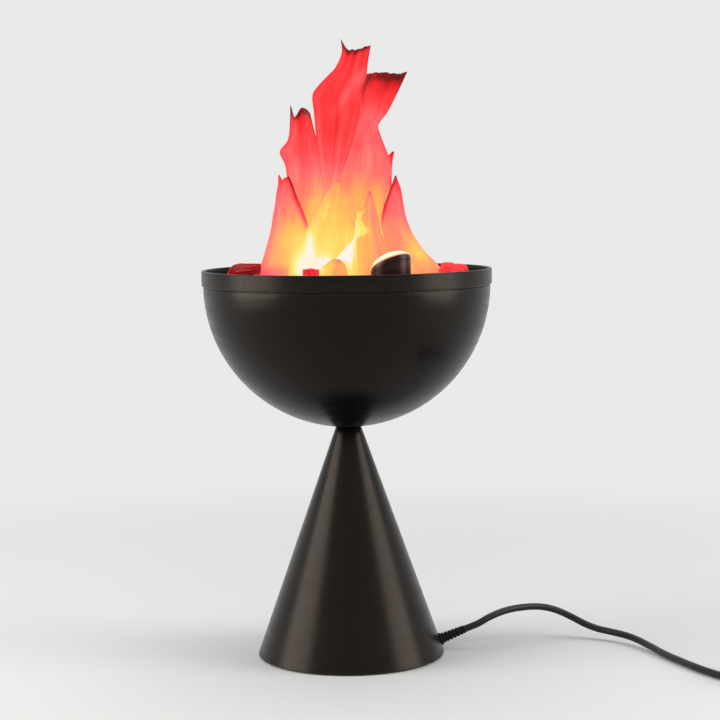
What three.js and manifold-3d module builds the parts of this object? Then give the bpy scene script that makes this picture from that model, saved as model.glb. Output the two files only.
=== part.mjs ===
// Silk flame effect light: a half-round bowl on a cone-shaped foot. A fan in the bowl blows
// strips of silk upward and two lamps light them, so that they look like a fire.
// Millimetres, +Z up, origin in the middle of the foot on the floor, front towards -Y.
import * as THREE from 'three';
import { mergeVertices } from 'three/addons/utils/BufferGeometryUtils.js';
import Module from 'manifold-3d';

const wasm = await Module();
wasm.setup();

// Gaps and cutters
const seat = 0.3; // between pieces that touch
const overrun = 2; // how far a cutter passes the piece it cuts
const screwClearance = 0.3; // round a screw in its hole

// Cone-shaped pedestal, spun from sheet
const coneBaseRadius = 66.7;
const coneTopRadius = 8.9;
const coneEdgeZ = 1; // the feet lift its edge this far off the floor
const coneTopZ = 164.7;
const coneWall = 1;
const plateThickness = 1.5;
const plateZ = 3;
const plateClearance = 0.6;
const lugWidth = 10;
const lugDepth = 16;
const lugHeight = 8;
const footRadius = 7;
const footTaper = 0.6;
const footMargin = 8.8; // from a foot to the base plate's edge
const footCount = 3;

// Stem that joins bowl and cone
const stemRadius = 5;
const stemBore = 3.2;
const stemClearance = 0.3;
const stemEnd = 2; // thread that stands past each nut
const nutAcrossFlats = 14;
const nutHeight = 6;
const nutFlangeRadius = 7.6;
const nutFlange = 1.5;

// Bowl, pressed from sheet, and its rim ring
const rimRadius = 102.5;
const rimOverhang = 1.1; // how far the rim stands out past the bowl
const rimRise = 10.6; // from the bowl's centre to the rim's top
const bowlFlatRadius = 9; // the flat that stands on the cone
const bowlWall = 1;
const rimBandHeight = 11;
const rimWall = 2.5;
const rimRound = 0.7;
const grooveHeight = 1;
const grooveDepth = 1.3;
const skirtGap = 0.9; // between the ring's skirt and the bowl
const skirtWall = 2;
const skirtHeight = 20;
const ledgeWidth = 7;
const ledgeThickness = 2;

// Deck, the plate that carries the fan, lamps and silk
const deckThickness = 1.8;
const deckClearance = 0.5;
const deckScrewAzimuth = -30;
const ventWidth = 3.2;
const ventLength = 20;
const ventPitch = 7;
const ventCount = 6;
const ventMargin = 2; // from a slot's end to the ledge
const ventAzimuth = -118;

// Screws
const screwRadius = 1.5;
const screwLength = 8;
const screwHeadRadius = 3.1;
const screwHeadHeight = 1.6;

// Fan
const fanSide = 80;
const fanDepth = 25;
const fanCorner = 5;
const fanDuctEdge = 2.4; // from the duct to the fan's side
const fanFlange = 4;
const fanDuctWall = 1.6;
const fanHoleInset = 4.25; // from a screw hole to the fan's sides
const fanHoleRadius = 2.1;
const fanBaseThickness = 3;
const fanStrutWidth = 6;
const hubRadius = 17;
const hubWall = 1.5;
const hubFloorGap = 1; // between the hub and the fan's base
const bladeCount = 7;
const bladeTipGap = 0.9;
const bladeRootChord = 15;
const bladeTipChord = 22;
const bladeRootPitch = 48;
const bladeTipPitch = 30;
const bladeThickness = 1.5;
const shaftRadius = 1.5;
const shaftRunning = 0.06; // radial clearance in the bearing
const bearingRadius = 3.4;
const bearingTubeWall = 1.6;
const bearingLength = 9;
const statorGap = 0.8; // between stator and magnet
const statorHeight = 9;
const magnetWall = 1.4;
const magnetHeight = 11;

// Driver, the power supply below the deck
const driverLength = 56;
const driverWidth = 22;
const driverHeight = 20;
const driverCorner = 2.5;
const driverGap = 1; // to the fan's side
const driverAzimuth = 135;

// Lamp pods
const podRadius = 13.5;
const podWall = 1.5;
const podPlaceShare = 0.463; // of the way from the hoop to the rim ring's skirt
const podAzimuth = -64.5;
const podHeight = 40.3; // at its high side
const podMouthTilt = 26.6;
const podMouthTurn = 18.5; // of the high side, onward from the pod's own azimuth
const podLedge = 1.2;
const lensThickness = 2.5;
const lensRise = 7.5; // of the domed face over the mouth
const heatSinkHeight = 9;
const heatSinkFins = 8;
const boardThickness = 1.6;
const ledRadius = 3;
const lampClearance = 0.4;

// Silk and the oval hoop that it is fixed to
const hoopMargin = 22.5; // from the hoop's end to the rim ring's skirt
const hoopSideGap = 4.9; // from the fan's duct to the hoop
const hoopWall = 2;
const hoopHeight = 12;
const hoopFacets = 36;
const flameHeight = 190;
const silkThickness = 0.6;
const foldDepth = 1.7;
const rollRadius = 3.8;

// Mains cord
const cordDiameter = 5;
const grommetZ = 6.5;
const grommetAzimuth = 10;
const grommetNeck = 3.7;
const grommetFlange = 4.6;
const grommetFlangeThickness = 1.8;
const grommetInnerGap = 0.6; // the wall curves away from the flat flange inside
const reliefLength = 20;
const reliefTip = 2.9;
const leadBend = 22;
const coilInnerRadius = 22;
const coilTurnsBelow = 2.5;
const coilTurnsAbove = 2.413;
const coilGap = 1.3;
const coilFacets = 24;
const linkLength = 28;
const tailLength = 34;
const tailDrop = 1.4;

// In-line switch
const switchLength = 62;
const switchWidth = 26;
const switchWall = 1.8;
const switchFloorGap = 0.3;
const rockerLength = 14;
const rockerWidth = 10;
const rockerGap = 0.9;
const rockerRise = 2.4;
const rockerDepth = 5;
const rockerTilt = 9;
const pivotRadius = 1;
const pivotLength = 1.5;
const pivotRunning = 0.06;
const cheekDepth = 4.5;

// Plug
const plugLength = 38;
const plugHalfWidth = 13;
const plugHalfHeight = 6.9;
const pinRadius = 2;
const pinLength = 19;
const pinSpacing = 18.6;
const pinSleeve = 0.15;

// Facets round a piece
const shellFacets = 36;
const smallFacets = 16;
const screwFacets = 8;
const fanFacets = 30;
const podFacets = 20;
const domeFacets = 20;
const roundFacets = 24; // where a piece turns in another
const cordSides = 6;
const rollSides = 8;

const rad = THREE.MathUtils.degToRad;
const v2 = (x, y) => new THREE.Vector2(x, y);
const v3 = (x, y, z) => new THREE.Vector3(x, y, z);
const turned = (radius, azimuth, z) => v3(radius * Math.cos(azimuth), radius * Math.sin(azimuth), z);

// A mesh whose vertices are shared by position only, without flat triangles, facing out
function closed(geometry) {
  const bare = new THREE.BufferGeometry();
  bare.setAttribute('position', geometry.getAttribute('position').clone());
  bare.setIndex(geometry.index);
  const welded = mergeVertices(bare);
  const old = welded.index.array;
  const kept = [];
  for (let i = 0; i < old.length; i += 3) {
    const [a, b, c] = [old[i], old[i + 1], old[i + 2]];
    if (a !== b && b !== c && c !== a) kept.push(a, b, c);
  }
  const position = welded.getAttribute('position');
  const corner = k => new THREE.Vector3().fromBufferAttribute(position, kept[k]);
  let volume = 0;
  for (let i = 0; i < kept.length; i += 3) {
    volume += corner(i).dot(corner(i + 1).cross(corner(i + 2)));
  }
  if (volume < 0) kept.reverse();
  welded.setIndex(kept);
  return welded;
}

function solid(geometry) {
  const mesh = closed(geometry);
  return new wasm.Manifold(new wasm.Mesh({
    numProp: 3,
    vertProperties: new Float32Array(mesh.getAttribute('position').array),
    triVerts: new Uint32Array(mesh.index.array),
  }));
}

function geometryOf(manifold) {
  const mesh = manifold.getMesh();
  const geometry = new THREE.BufferGeometry();
  geometry.setAttribute('position', new THREE.BufferAttribute(mesh.vertProperties, 3));
  geometry.setIndex(new THREE.BufferAttribute(mesh.triVerts, 1));
  return geometry;
}

const join = (...parts) => geometryOf(parts.map(solid).reduce((a, b) => a.add(b)));
const cut = (part, ...tools) => geometryOf(tools.map(solid).reduce((a, b) => a.subtract(b), solid(part)));
const common = (a, b) => geometryOf(solid(a).intersect(solid(b)));

// A profile of [radius, height] pairs turned round Z. One that touches the axis stays open
// there, and any other closes on itself.
function revolve(profile, facets = smallFacets) {
  const points = profile.map(([radius, height]) => v2(radius, height));
  const onAxis = profile[0][0] === 0 && profile.at(-1)[0] === 0;
  if (!onAxis) points.push(points[0].clone());
  return new THREE.LatheGeometry(points, facets).rotateX(Math.PI / 2);
}

const rod = (radius, bottom, top, facets = smallFacets) =>
  revolve([[0, bottom], [radius, bottom], [radius, top], [0, top]], facets);
const ring = (inner, outer, bottom, top, facets = smallFacets) =>
  revolve([[inner, bottom], [outer, bottom], [outer, top], [inner, top]], facets);
const block = (x, y, z) => new THREE.BoxGeometry(x, y, z);

function prism(shape, depth, curveSegments = 6) {
  return new THREE.ExtrudeGeometry(shape, { depth, bevelEnabled: false, curveSegments });
}

function roundedRectangle(length, width, radius) {
  const [x, y] = [length / 2, width / 2];
  const shape = new THREE.Shape();
  shape.moveTo(x - radius, -y);
  shape.absarc(x - radius, -y + radius, radius, -Math.PI / 2, 0);
  shape.absarc(x - radius, y - radius, radius, 0, Math.PI / 2);
  shape.absarc(-x + radius, y - radius, radius, Math.PI / 2, Math.PI);
  shape.absarc(-x + radius, -y + radius, radius, Math.PI, 3 * Math.PI / 2);
  return shape;
}

function polygon(radius, sides) {
  return Array.from({ length: sides }, (_, k) => {
    const angle = 2 * Math.PI * (k + 1 / 2) / sides;
    return v2(radius * Math.cos(angle), radius * Math.sin(angle));
  });
}

function tube(path, radius, steps, sides = cordSides) {
  return new THREE.ExtrudeGeometry(new THREE.Shape(polygon(radius, sides)), {
    steps, bevelEnabled: false, extrudePath: path,
  });
}

// Rings of points, all of one count, joined into one closed body
function loft(rings) {
  const count = rings[0].length;
  const points = rings.flat();
  const faces = [];
  for (let r = 0; r + 1 < rings.length; r++) {
    for (let k = 0; k < count; k++) {
      const [a, b] = [r * count + k, r * count + (k + 1) % count];
      faces.push(a, b, b + count, a, b + count, a + count);
    }
  }
  const last = (rings.length - 1) * count;
  // A ring's two halves face each other, so an end cap is a ladder between them
  for (let k = 0; k + 1 < count / 2; k++) {
    const [a, b, c, d] = [k, k + 1, count - 2 - k, count - 1 - k];
    faces.push(a, c, b, a, d, c);
    faces.push(last + a, last + b, last + c, last + a, last + c, last + d);
  }
  const geometry = new THREE.BufferGeometry();
  const flat = new Float32Array(points.flatMap(p => p.toArray()));
  geometry.setAttribute('position', new THREE.BufferAttribute(flat, 3));
  geometry.setIndex(faces);
  return geometry;
}

const paint = (color, roughness, metalness) =>
  new THREE.MeshStandardMaterial({ color, roughness, metalness });
const satinBlack = paint(0x1d1c1b, 0.38, 0.6);
const blackPlastic = paint(0x121212, 0.5, 0);
const blackRubber = paint(0x0c0c0c, 0.85, 0);
const cordVinyl = paint(0x0e0e0f, 0.35, 0);
const steel = paint(0xa8a9ab, 0.35, 0.9);
const aluminium = paint(0xb9bbbe, 0.4, 0.9);
const bronze = paint(0x9a6b3a, 0.4, 0.8);
const copper = paint(0xb2652e, 0.4, 0.7);
const ferrite = paint(0x2a2a2c, 0.7, 0.2);
const boardWhite = paint(0xe6e6e0, 0.5, 0);
const lampLens = new THREE.MeshStandardMaterial({
  color: 0xffe9c8, roughness: 0.2, metalness: 0, emissive: 0xffd9a0,
});
const redSilk = new THREE.MeshStandardMaterial({
  color: 0xe0242c, roughness: 0.6, metalness: 0, emissive: 0xb01810, side: THREE.DoubleSide,
});
const brass = paint(0xc8a860, 0.3, 0.9);

const group = new THREE.Group();

function add(name, geometry, material, parent = group) {
  const mesh = new THREE.Mesh(closed(geometry), material);
  mesh.name = name;
  parent.add(mesh);
  return mesh;
}

// A screw with its head's underside at the origin, pointing down or up
function screw(length, down) {
  const s = down ? 1 : -1;
  return revolve([
    [0, -s * length], [screwRadius, -s * length], [screwRadius, 0], [screwHeadRadius, 0],
    [screwHeadRadius, s * screwHeadHeight / 2], [screwRadius, s * screwHeadHeight],
    [0, s * screwHeadHeight],
  ], screwFacets);
}

// Pedestal
const coneSlope = Math.atan2(coneBaseRadius - coneTopRadius, coneTopZ - coneEdgeZ);
const coneOuterAt = z => coneBaseRadius - (z - coneEdgeZ) * Math.tan(coneSlope);
const coneInnerAt = z => coneOuterAt(z) - coneWall / Math.cos(coneSlope);
const stemHole = stemRadius + stemClearance;
const coneCeilingZ = coneTopZ - coneWall;
const plateTopZ = plateZ + plateThickness;
const lugZ = plateTopZ + seat;
const plateRadius = coneInnerAt(plateTopZ) - plateClearance;
const screwCircle = coneInnerAt(lugZ + lugHeight) - lugDepth / 2;
const baseScrewAngles = Array.from({ length: footCount }, (_, k) =>
  rad(90) + 2 * Math.PI * k / footCount);
const footAngles = baseScrewAngles.map(angle => angle + Math.PI / footCount);
const footCircle = plateRadius - footMargin - footRadius;

// The cord leaves square to the cone's wall. Its frame has X along the way out.
const grommetAngle = rad(grommetAzimuth);
const wayOut = turned(Math.cos(coneSlope), grommetAngle, Math.sin(coneSlope));
const grommetMouth = turned(coneOuterAt(grommetZ), grommetAngle, grommetZ);
const grommetFrame = new THREE.Matrix4().makeBasis(
  wayOut,
  v3(-Math.sin(grommetAngle), Math.cos(grommetAngle), 0),
  turned(-Math.sin(coneSlope), grommetAngle, Math.cos(coneSlope)),
).setPosition(grommetMouth);
const alongGrommet = geometry => geometry.rotateY(Math.PI / 2).applyMatrix4(grommetFrame);

function pedestal() {
  const shell = revolve([
    [coneInnerAt(coneEdgeZ), coneEdgeZ], [coneBaseRadius, coneEdgeZ],
    [coneTopRadius, coneTopZ], [stemHole, coneTopZ],
    [stemHole, coneCeilingZ], [coneInnerAt(coneCeilingZ), coneCeilingZ],
  ], shellFacets);
  const inMiddleOfWall = revolve([
    [0, coneEdgeZ], [coneInnerAt(coneEdgeZ) + coneWall / 2, coneEdgeZ],
    [coneInnerAt(coneCeilingZ) + coneWall / 2, coneCeilingZ], [0, coneCeilingZ],
  ], shellFacets);
  const lugs = baseScrewAngles.map(angle => {
    const reach = 2 * lugDepth;
    const lug = block(reach, lugWidth, lugHeight)
      .translate(screwCircle - lugDepth / 2 + reach / 2, 0, lugZ + lugHeight / 2)
      .rotateZ(angle);
    return common(lug, inMiddleOfWall);
  });
  const screwHole = screwRadius + screwClearance;
  const screwTipZ = plateZ - seat + screwLength;
  const holes = baseScrewAngles.map(angle =>
    rod(screwHole, lugZ - overrun, screwTipZ + seat, screwFacets)
      .translate(screwCircle, 0, 0).rotateZ(angle));
  const cordHole = alongGrommet(rod(grommetNeck + seat, -overrun * 2, overrun));
  add('pedestal_cone', cut(join(shell, ...lugs), ...holes, cordHole), satinBlack);

  const plateHoles = baseScrewAngles.map(angle =>
    rod(screwHole, plateZ - overrun, plateTopZ + overrun, screwFacets)
      .translate(screwCircle, 0, 0).rotateZ(angle));
  const notch = block(leadBend, 2 * (grommetFlange + plateClearance), 2 * plateTopZ)
    .translate(plateRadius - leadBend / 4, 0, 0)
    .rotateZ(grommetAngle);
  const plate = rod(plateRadius, plateZ, plateTopZ, shellFacets);
  add('base_plate', cut(plate, ...plateHoles, notch), satinBlack);

  baseScrewAngles.forEach((angle, k) => {
    const geometry = screw(screwLength, false);
    add(`base_screw_${k + 1}`, geometry, steel).position.copy(turned(screwCircle, angle, plateZ - seat));
  });
  const footHeight = plateZ - seat;
  footAngles.forEach((angle, k) => {
    const geometry = revolve([
      [0, 0], [footRadius - footTaper, 0], [footRadius, footHeight], [0, footHeight],
    ]);
    add(`foot_${k + 1}`, geometry, blackRubber).position.copy(turned(footCircle, angle, 0));
  });
}

// Bowl: where its sphere is at a height, and the flat that stands on the cone
const bowlFlatZ = coneTopZ + seat;
const bowlRadius = rimRadius - rimOverhang;
const bowlCentreZ = bowlFlatZ + Math.sqrt(bowlRadius ** 2 - bowlFlatRadius ** 2);
const rimTopZ = bowlCentreZ + rimRise;
const bowlTopZ = rimTopZ - rimBandHeight - grooveHeight;
const bowlInnerRadius = bowlRadius - bowlWall;
const sphereAt = (radius, z) => Math.sqrt(radius ** 2 - (z - bowlCentreZ) ** 2);
const bowlInnerAt = z => sphereAt(bowlInnerRadius, z);
const bowlFloorZ = bowlFlatZ + bowlWall;

function sphereProfile(radius, fromZ, toZ, steps) {
  const start = Math.asin((fromZ - bowlCentreZ) / radius);
  const end = Math.asin((toZ - bowlCentreZ) / radius);
  return Array.from({ length: steps + 1 }, (_, k) => {
    const angle = start + (end - start) * k / steps;
    return [radius * Math.cos(angle), bowlCentreZ + radius * Math.sin(angle)];
  });
}

function bowl() {
  const steps = 8;
  const profile = [
    [stemHole, bowlFlatZ],
    ...sphereProfile(bowlRadius, bowlFlatZ, bowlTopZ, steps),
    ...sphereProfile(bowlInnerRadius, bowlFloorZ, bowlTopZ, steps).reverse(),
    [stemHole, bowlFloorZ],
  ];
  add('bowl_shell', revolve(profile, shellFacets), satinBlack);
}

// Rim ring: a band above the groove, a shoulder on the bowl's edge, and a skirt inside the
// bowl with a ledge for the deck
const bandZ = rimTopZ - rimBandHeight;
const skirtBottomZ = bowlTopZ - skirtHeight;
const skirtTopRadius = bowlInnerAt(bowlTopZ) - skirtGap;
const skirtRadius = bowlInnerAt(skirtBottomZ) - skirtGap;
const skirtInner = skirtRadius - skirtWall;
const ledgeInner = skirtInner - ledgeWidth;
const ledgeZ = skirtBottomZ + ledgeThickness;
const deckZ = ledgeZ + seat;
const deckTopZ = deckZ + deckThickness;
const deckRadius = skirtInner - deckClearance;
const deckScrewCircle = skirtInner - ledgeWidth / 2;
const deckScrewAngles = [0, 1, 2].map(k => rad(deckScrewAzimuth) + 2 * Math.PI * k / 3);

function rim() {
  const inner = rimRadius - rimWall;
  const profile = [
    [rimRadius - grooveDepth, bandZ - grooveHeight + seat], [rimRadius - grooveDepth, bandZ],
    [rimRadius, bandZ], [rimRadius, rimTopZ - rimRound], [rimRadius - rimRound, rimTopZ],
    [inner + rimRound, rimTopZ], [inner, rimTopZ - rimRound],
    [inner, bandZ + grooveHeight], [skirtTopRadius - skirtWall, bandZ - grooveHeight],
    [skirtInner, ledgeZ + deckThickness * 2], [skirtInner, ledgeZ],
    [ledgeInner, ledgeZ], [ledgeInner, skirtBottomZ],
    [skirtRadius, skirtBottomZ], [skirtTopRadius, bandZ - grooveHeight + seat],
  ];
  const bossRadius = ledgeWidth / 2 - screwClearance;
  const boss = deckScrewAngles.map(angle =>
    rod(bossRadius, ledgeZ - screwLength, ledgeZ - ledgeThickness / 2, screwFacets)
      .translate(deckScrewCircle, 0, 0).rotateZ(angle));
  const holes = deckScrewAngles.map(angle =>
    rod(screwRadius + screwClearance, ledgeZ - screwLength - overrun, ledgeZ + overrun, screwFacets)
      .translate(deckScrewCircle, 0, 0).rotateZ(angle));
  add('rim_ring', cut(join(revolve(profile, shellFacets), ...boss), ...holes), satinBlack);
}

// Fan
const fanTopZ = deckZ - seat;
const fanBottomZ = fanTopZ - fanDepth;
const fanTurn = rad(45);
const fanDuct = fanSide / 2 - fanDuctEdge;
const fanHoleSpacing = fanSide - 2 * fanHoleInset;
const fanScrewPlaces = [1, -1].map(side => v2(0, side * fanHoleSpacing / Math.SQRT2));
const bearingZ = fanBottomZ + fanBaseThickness + seat;
const tubeRadius = bearingRadius + seat + bearingTubeWall;
const hubTopZ = fanTopZ - fanFlange;
const hubBottomZ = bearingZ - seat + hubFloorGap;
const hubHeight = hubTopZ - hubBottomZ;
const magnetOuter = hubRadius - hubWall - seat;
const magnetInner = magnetOuter - magnetWall;
const statorRadius = magnetInner - statorGap;

function fanFrame() {
  const plate = roundedRectangle(fanSide, fanSide, fanCorner);
  plate.holes.push(new THREE.Path(polygon(fanDuct, fanFacets)));
  const flange = z => prism(plate, fanFlange, 1).translate(0, 0, z);
  const duct = new THREE.Shape(polygon(fanDuct + fanDuctWall, fanFacets));
  duct.holes.push(new THREE.Path(polygon(fanDuct, fanFacets)));
  const barrel = prism(duct, fanDepth - fanFlange).translate(0, 0, fanBottomZ + fanFlange / 2);
  const cup = rod(statorRadius, fanBottomZ, fanBottomZ + fanBaseThickness);
  const struts = [0, 1].map(k => block(2 * fanDuct + fanDuctWall, fanStrutWidth, fanBaseThickness)
    .translate(0, 0, fanBottomZ + fanBaseThickness / 2).rotateZ(k * Math.PI / 2));
  const bearingTube = ring(bearingRadius + seat, tubeRadius, fanBottomZ + fanBaseThickness / 2,
    bearingZ + bearingLength);
  const half = fanHoleSpacing / 2;
  const holes = [[half, half], [-half, half], [-half, -half], [half, -half]].map(([x, y]) =>
    rod(fanHoleRadius, fanBottomZ - overrun, fanTopZ + overrun, screwFacets).translate(x, y, 0));
  const flanges = [flange(fanBottomZ), flange(fanTopZ - fanFlange)];
  const body = join(...flanges, barrel, cup, ...struts, bearingTube);
  add('fan_frame', cut(body, ...holes).rotateZ(fanTurn), blackPlastic);
}

// One blade: a thin cambered section that turns flatter and grows wider towards its tip
function blade() {
  const stations = 5;
  const half = 4;
  const tipRadius = fanDuct - bladeTipGap;
  const rootRadius = hubRadius - hubWall / 2;
  const midZ = hubBottomZ + hubHeight / 2;
  const rings = Array.from({ length: stations }, (_, s) => {
    const share = s / (stations - 1);
    const radius = THREE.MathUtils.lerp(rootRadius, tipRadius, share);
    const chord = THREE.MathUtils.lerp(bladeRootChord, bladeTipChord, share);
    const pitch = rad(THREE.MathUtils.lerp(bladeRootPitch, bladeTipPitch, share));
    const side = (k, sign) => {
      const along = k / (half - 1) * 2 - 1;
      const camber = chord / 12 * (1 - along ** 2);
      const thick = bladeThickness / 2 * (1 - 0.6 * along ** 2) * sign;
      const [c, n] = [along * chord / 2, camber + thick];
      const swing = (c * Math.cos(pitch) - n * Math.sin(pitch)) / radius;
      const height = c * Math.sin(pitch) + n * Math.cos(pitch);
      return turned(radius, swing, midZ + height);
    };
    const upper = Array.from({ length: half }, (_, k) => side(k, 1));
    const lower = Array.from({ length: half }, (_, k) => side(half - 1 - k, -1));
    return [...upper, ...lower];
  });
  return loft(rings);
}

function fanRotor() {
  const hub = revolve([
    [0, hubTopZ], [hubRadius - hubWall, hubTopZ], [hubRadius, hubTopZ - hubWall],
    [hubRadius, hubBottomZ], [hubRadius - hubWall, hubBottomZ],
    [hubRadius - hubWall, hubTopZ - hubWall], [shaftRadius + hubWall, hubTopZ - hubWall],
    [shaftRadius + hubWall, hubTopZ - 2 * hubWall], [0, hubTopZ - 2 * hubWall],
  ], 21);
  const blades = Array.from({ length: bladeCount }, (_, k) =>
    blade().rotateZ(2 * Math.PI * k / bladeCount));
  const shaftTopZ = hubTopZ - hubWall;
  const shaftHole = rod(shaftRadius + seat, hubTopZ - 2 * hubWall - overrun, shaftTopZ, 12);
  add('fan_rotor', cut(join(hub, ...blades), shaftHole), blackPlastic);

  add('fan_shaft', rod(shaftRadius, bearingZ, shaftTopZ - seat, roundFacets), steel);
  const magnetTopZ = hubTopZ - hubWall - seat;
  add('fan_magnet', ring(magnetInner, magnetOuter, magnetTopZ - magnetHeight, magnetTopZ,
    roundFacets), ferrite);
  add('fan_bearing', ring(shaftRadius + shaftRunning, bearingRadius, bearingZ,
    bearingZ + bearingLength, roundFacets), bronze);
  add('fan_stator', fanStator(), copper);
}

// Stator: four wound poles round the bearing's tube
function fanStator() {
  const coreRadius = tubeRadius + seat;
  const topZ = bearingZ + statorHeight;
  const core = ring(coreRadius, coreRadius + 2 * hubWall, bearingZ, topZ, roundFacets);
  const poles = [0, 1, 2, 3].map(k => {
    const reach = statorRadius - tubeRadius - hubWall;
    return block(reach, statorHeight * 0.7, statorHeight)
      .translate(tubeRadius + hubWall + reach / 2, 0, bearingZ + statorHeight / 2)
      .rotateZ(k * Math.PI / 2);
  });
  return join(core, ...poles);
}

function fan() {
  fanFrame();
  fanRotor();
  fanScrewPlaces.forEach((place, k) => {
    add(`fan_screw_${k + 1}`, screw(screwLength, true), steel)
      .position.set(place.x, place.y, deckTopZ + seat);
  });
}

// Silk hoop: an oval upstand on the deck
const hoopZ = deckTopZ + seat;
const hoopTopZ = hoopZ + hoopHeight;
const hoopHalfLength = skirtInner - hoopMargin;
const hoopHalfWidth = fanDuct + hoopSideGap + hoopWall;
const silkStandOff = 2 * seat + silkThickness; // how far the silk's outside is from the hoop

// The oval's corners, moved outward by an offset, with a place between two of them on the
// straight line that joins them, so that silk and hoop stay parallel
function ovalAt(degrees, offset) {
  const step = 360 / hoopFacets;
  const corner = k => v2(
    (hoopHalfLength + offset) * Math.cos(rad(k * step)),
    (hoopHalfWidth + offset) * Math.sin(rad(k * step)),
  );
  const low = Math.floor(degrees / step);
  return corner(low).lerp(corner(low + 1), degrees / step - low);
}

function silkHoop() {
  const outline = offset =>
    Array.from({ length: hoopFacets }, (_, k) => ovalAt(k * 360 / hoopFacets, offset));
  const shape = new THREE.Shape(outline(0));
  shape.holes.push(new THREE.Path(outline(-hoopWall)));
  add('silk_hoop', prism(shape, hoopHeight), blackPlastic).position.z = hoopZ;
}

// Deck
const podPlaces = [0, 1].map(k => {
  const azimuth = rad(podAzimuth) + k * Math.PI;
  const hoopReach = 1 / Math.hypot(
    Math.cos(azimuth) / (hoopHalfLength + silkStandOff),
    Math.sin(azimuth) / (hoopHalfWidth + silkStandOff),
  );
  const circle = THREE.MathUtils.lerp(hoopReach, skirtInner, podPlaceShare);
  return { name: k ? 'back' : 'front', azimuth, place: turned(circle, azimuth, hoopZ) };
});
const driverCircle = fanSide / 2 + driverGap + driverWidth / 2;
const driverBottom = turned(driverCircle, rad(driverAzimuth), deckZ - seat - driverHeight);
const ventCircle = ledgeInner - ventMargin - ventLength / 2;

function deck() {
  const plate = rod(deckRadius, deckZ, deckTopZ, shellFacets);
  const through = [deckZ - overrun, deckTopZ + overrun];
  const tools = [rod(fanDuct + seat, ...through, fanFacets)];
  const screwHole = () => rod(screwRadius + screwClearance, ...through, screwFacets);
  for (const angle of deckScrewAngles) {
    tools.push(screwHole().translate(deckScrewCircle, 0, 0).rotateZ(angle));
  }
  for (const place of fanScrewPlaces) {
    tools.push(screwHole().translate(place.x, place.y, 0));
  }
  for (const side of [0, 1]) {
    for (let k = 0; k < ventCount; k++) {
      const across = (k - (ventCount - 1) / 2) * ventPitch;
      tools.push(block(ventLength, ventWidth, 2 * deckTopZ).translate(ventCircle, across, 0)
        .rotateZ(rad(ventAzimuth) + side * Math.PI));
    }
  }
  add('deck_plate', cut(plate, ...tools), blackPlastic);
  deckScrewAngles.forEach((angle, k) => {
    add(`deck_screw_${k + 1}`, screw(screwLength, true), steel)
      .position.copy(turned(deckScrewCircle, angle, deckTopZ + seat));
  });
  const driver = prism(roundedRectangle(driverLength, driverWidth, driverCorner), driverHeight, 3);
  const driverCase = add('driver_case', driver, blackPlastic);
  driverCase.position.copy(driverBottom);
  driverCase.rotation.z = rad(driverAzimuth) + Math.PI / 2;
}

// Stem: a hollow threaded tube with a flanged nut in the bowl and one under the cone's top
const lowerNutZ = coneCeilingZ - seat;
const upperNutZ = bowlFloorZ + seat;
const nutTotal = nutHeight + nutFlange;
const stemTopZ = upperNutZ + nutTotal + stemEnd;
const stemBottomZ = lowerNutZ - nutTotal - stemEnd;

function flangedNut() {
  const hexagon = new THREE.Shape(Array.from({ length: 6 }, (_, k) => {
    const corner = nutAcrossFlats / Math.sqrt(3);
    return v2(corner * Math.cos(k * Math.PI / 3), corner * Math.sin(k * Math.PI / 3));
  }));
  const body = prism(hexagon, nutHeight + nutFlange / 2).translate(0, 0, nutFlange / 2);
  return cut(join(body, rod(nutFlangeRadius, 0, nutFlange)),
    rod(stemRadius + stemClearance, -overrun, nutTotal + overrun));
}

function stem() {
  add('stem_nipple', ring(stemBore, stemRadius, stemBottomZ, stemTopZ), steel);
  add('stem_nut_upper', flangedNut(), steel).position.z = upperNutZ;
  const lower = add('stem_nut_lower', flangedNut(), steel);
  lower.position.z = lowerNutZ;
  lower.rotation.x = Math.PI;
}

// Lamp pod: a tube cut at a slant, so that its lens looks inward and up
const podFloor = 2;
const mouthTilt = rad(podMouthTilt);
const podInner = podRadius - podWall;
const podCore = podInner - podLedge;

// A large block whose underside is the mouth's slanted plane, shifted along its normal
function aboveMouth(shift) {
  const size = 8 * podRadius;
  return block(size, size, size)
    .translate(0, 0, size / 2 + shift)
    .rotateY(-mouthTilt)
    .translate(podRadius, 0, podHeight);
}

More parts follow.
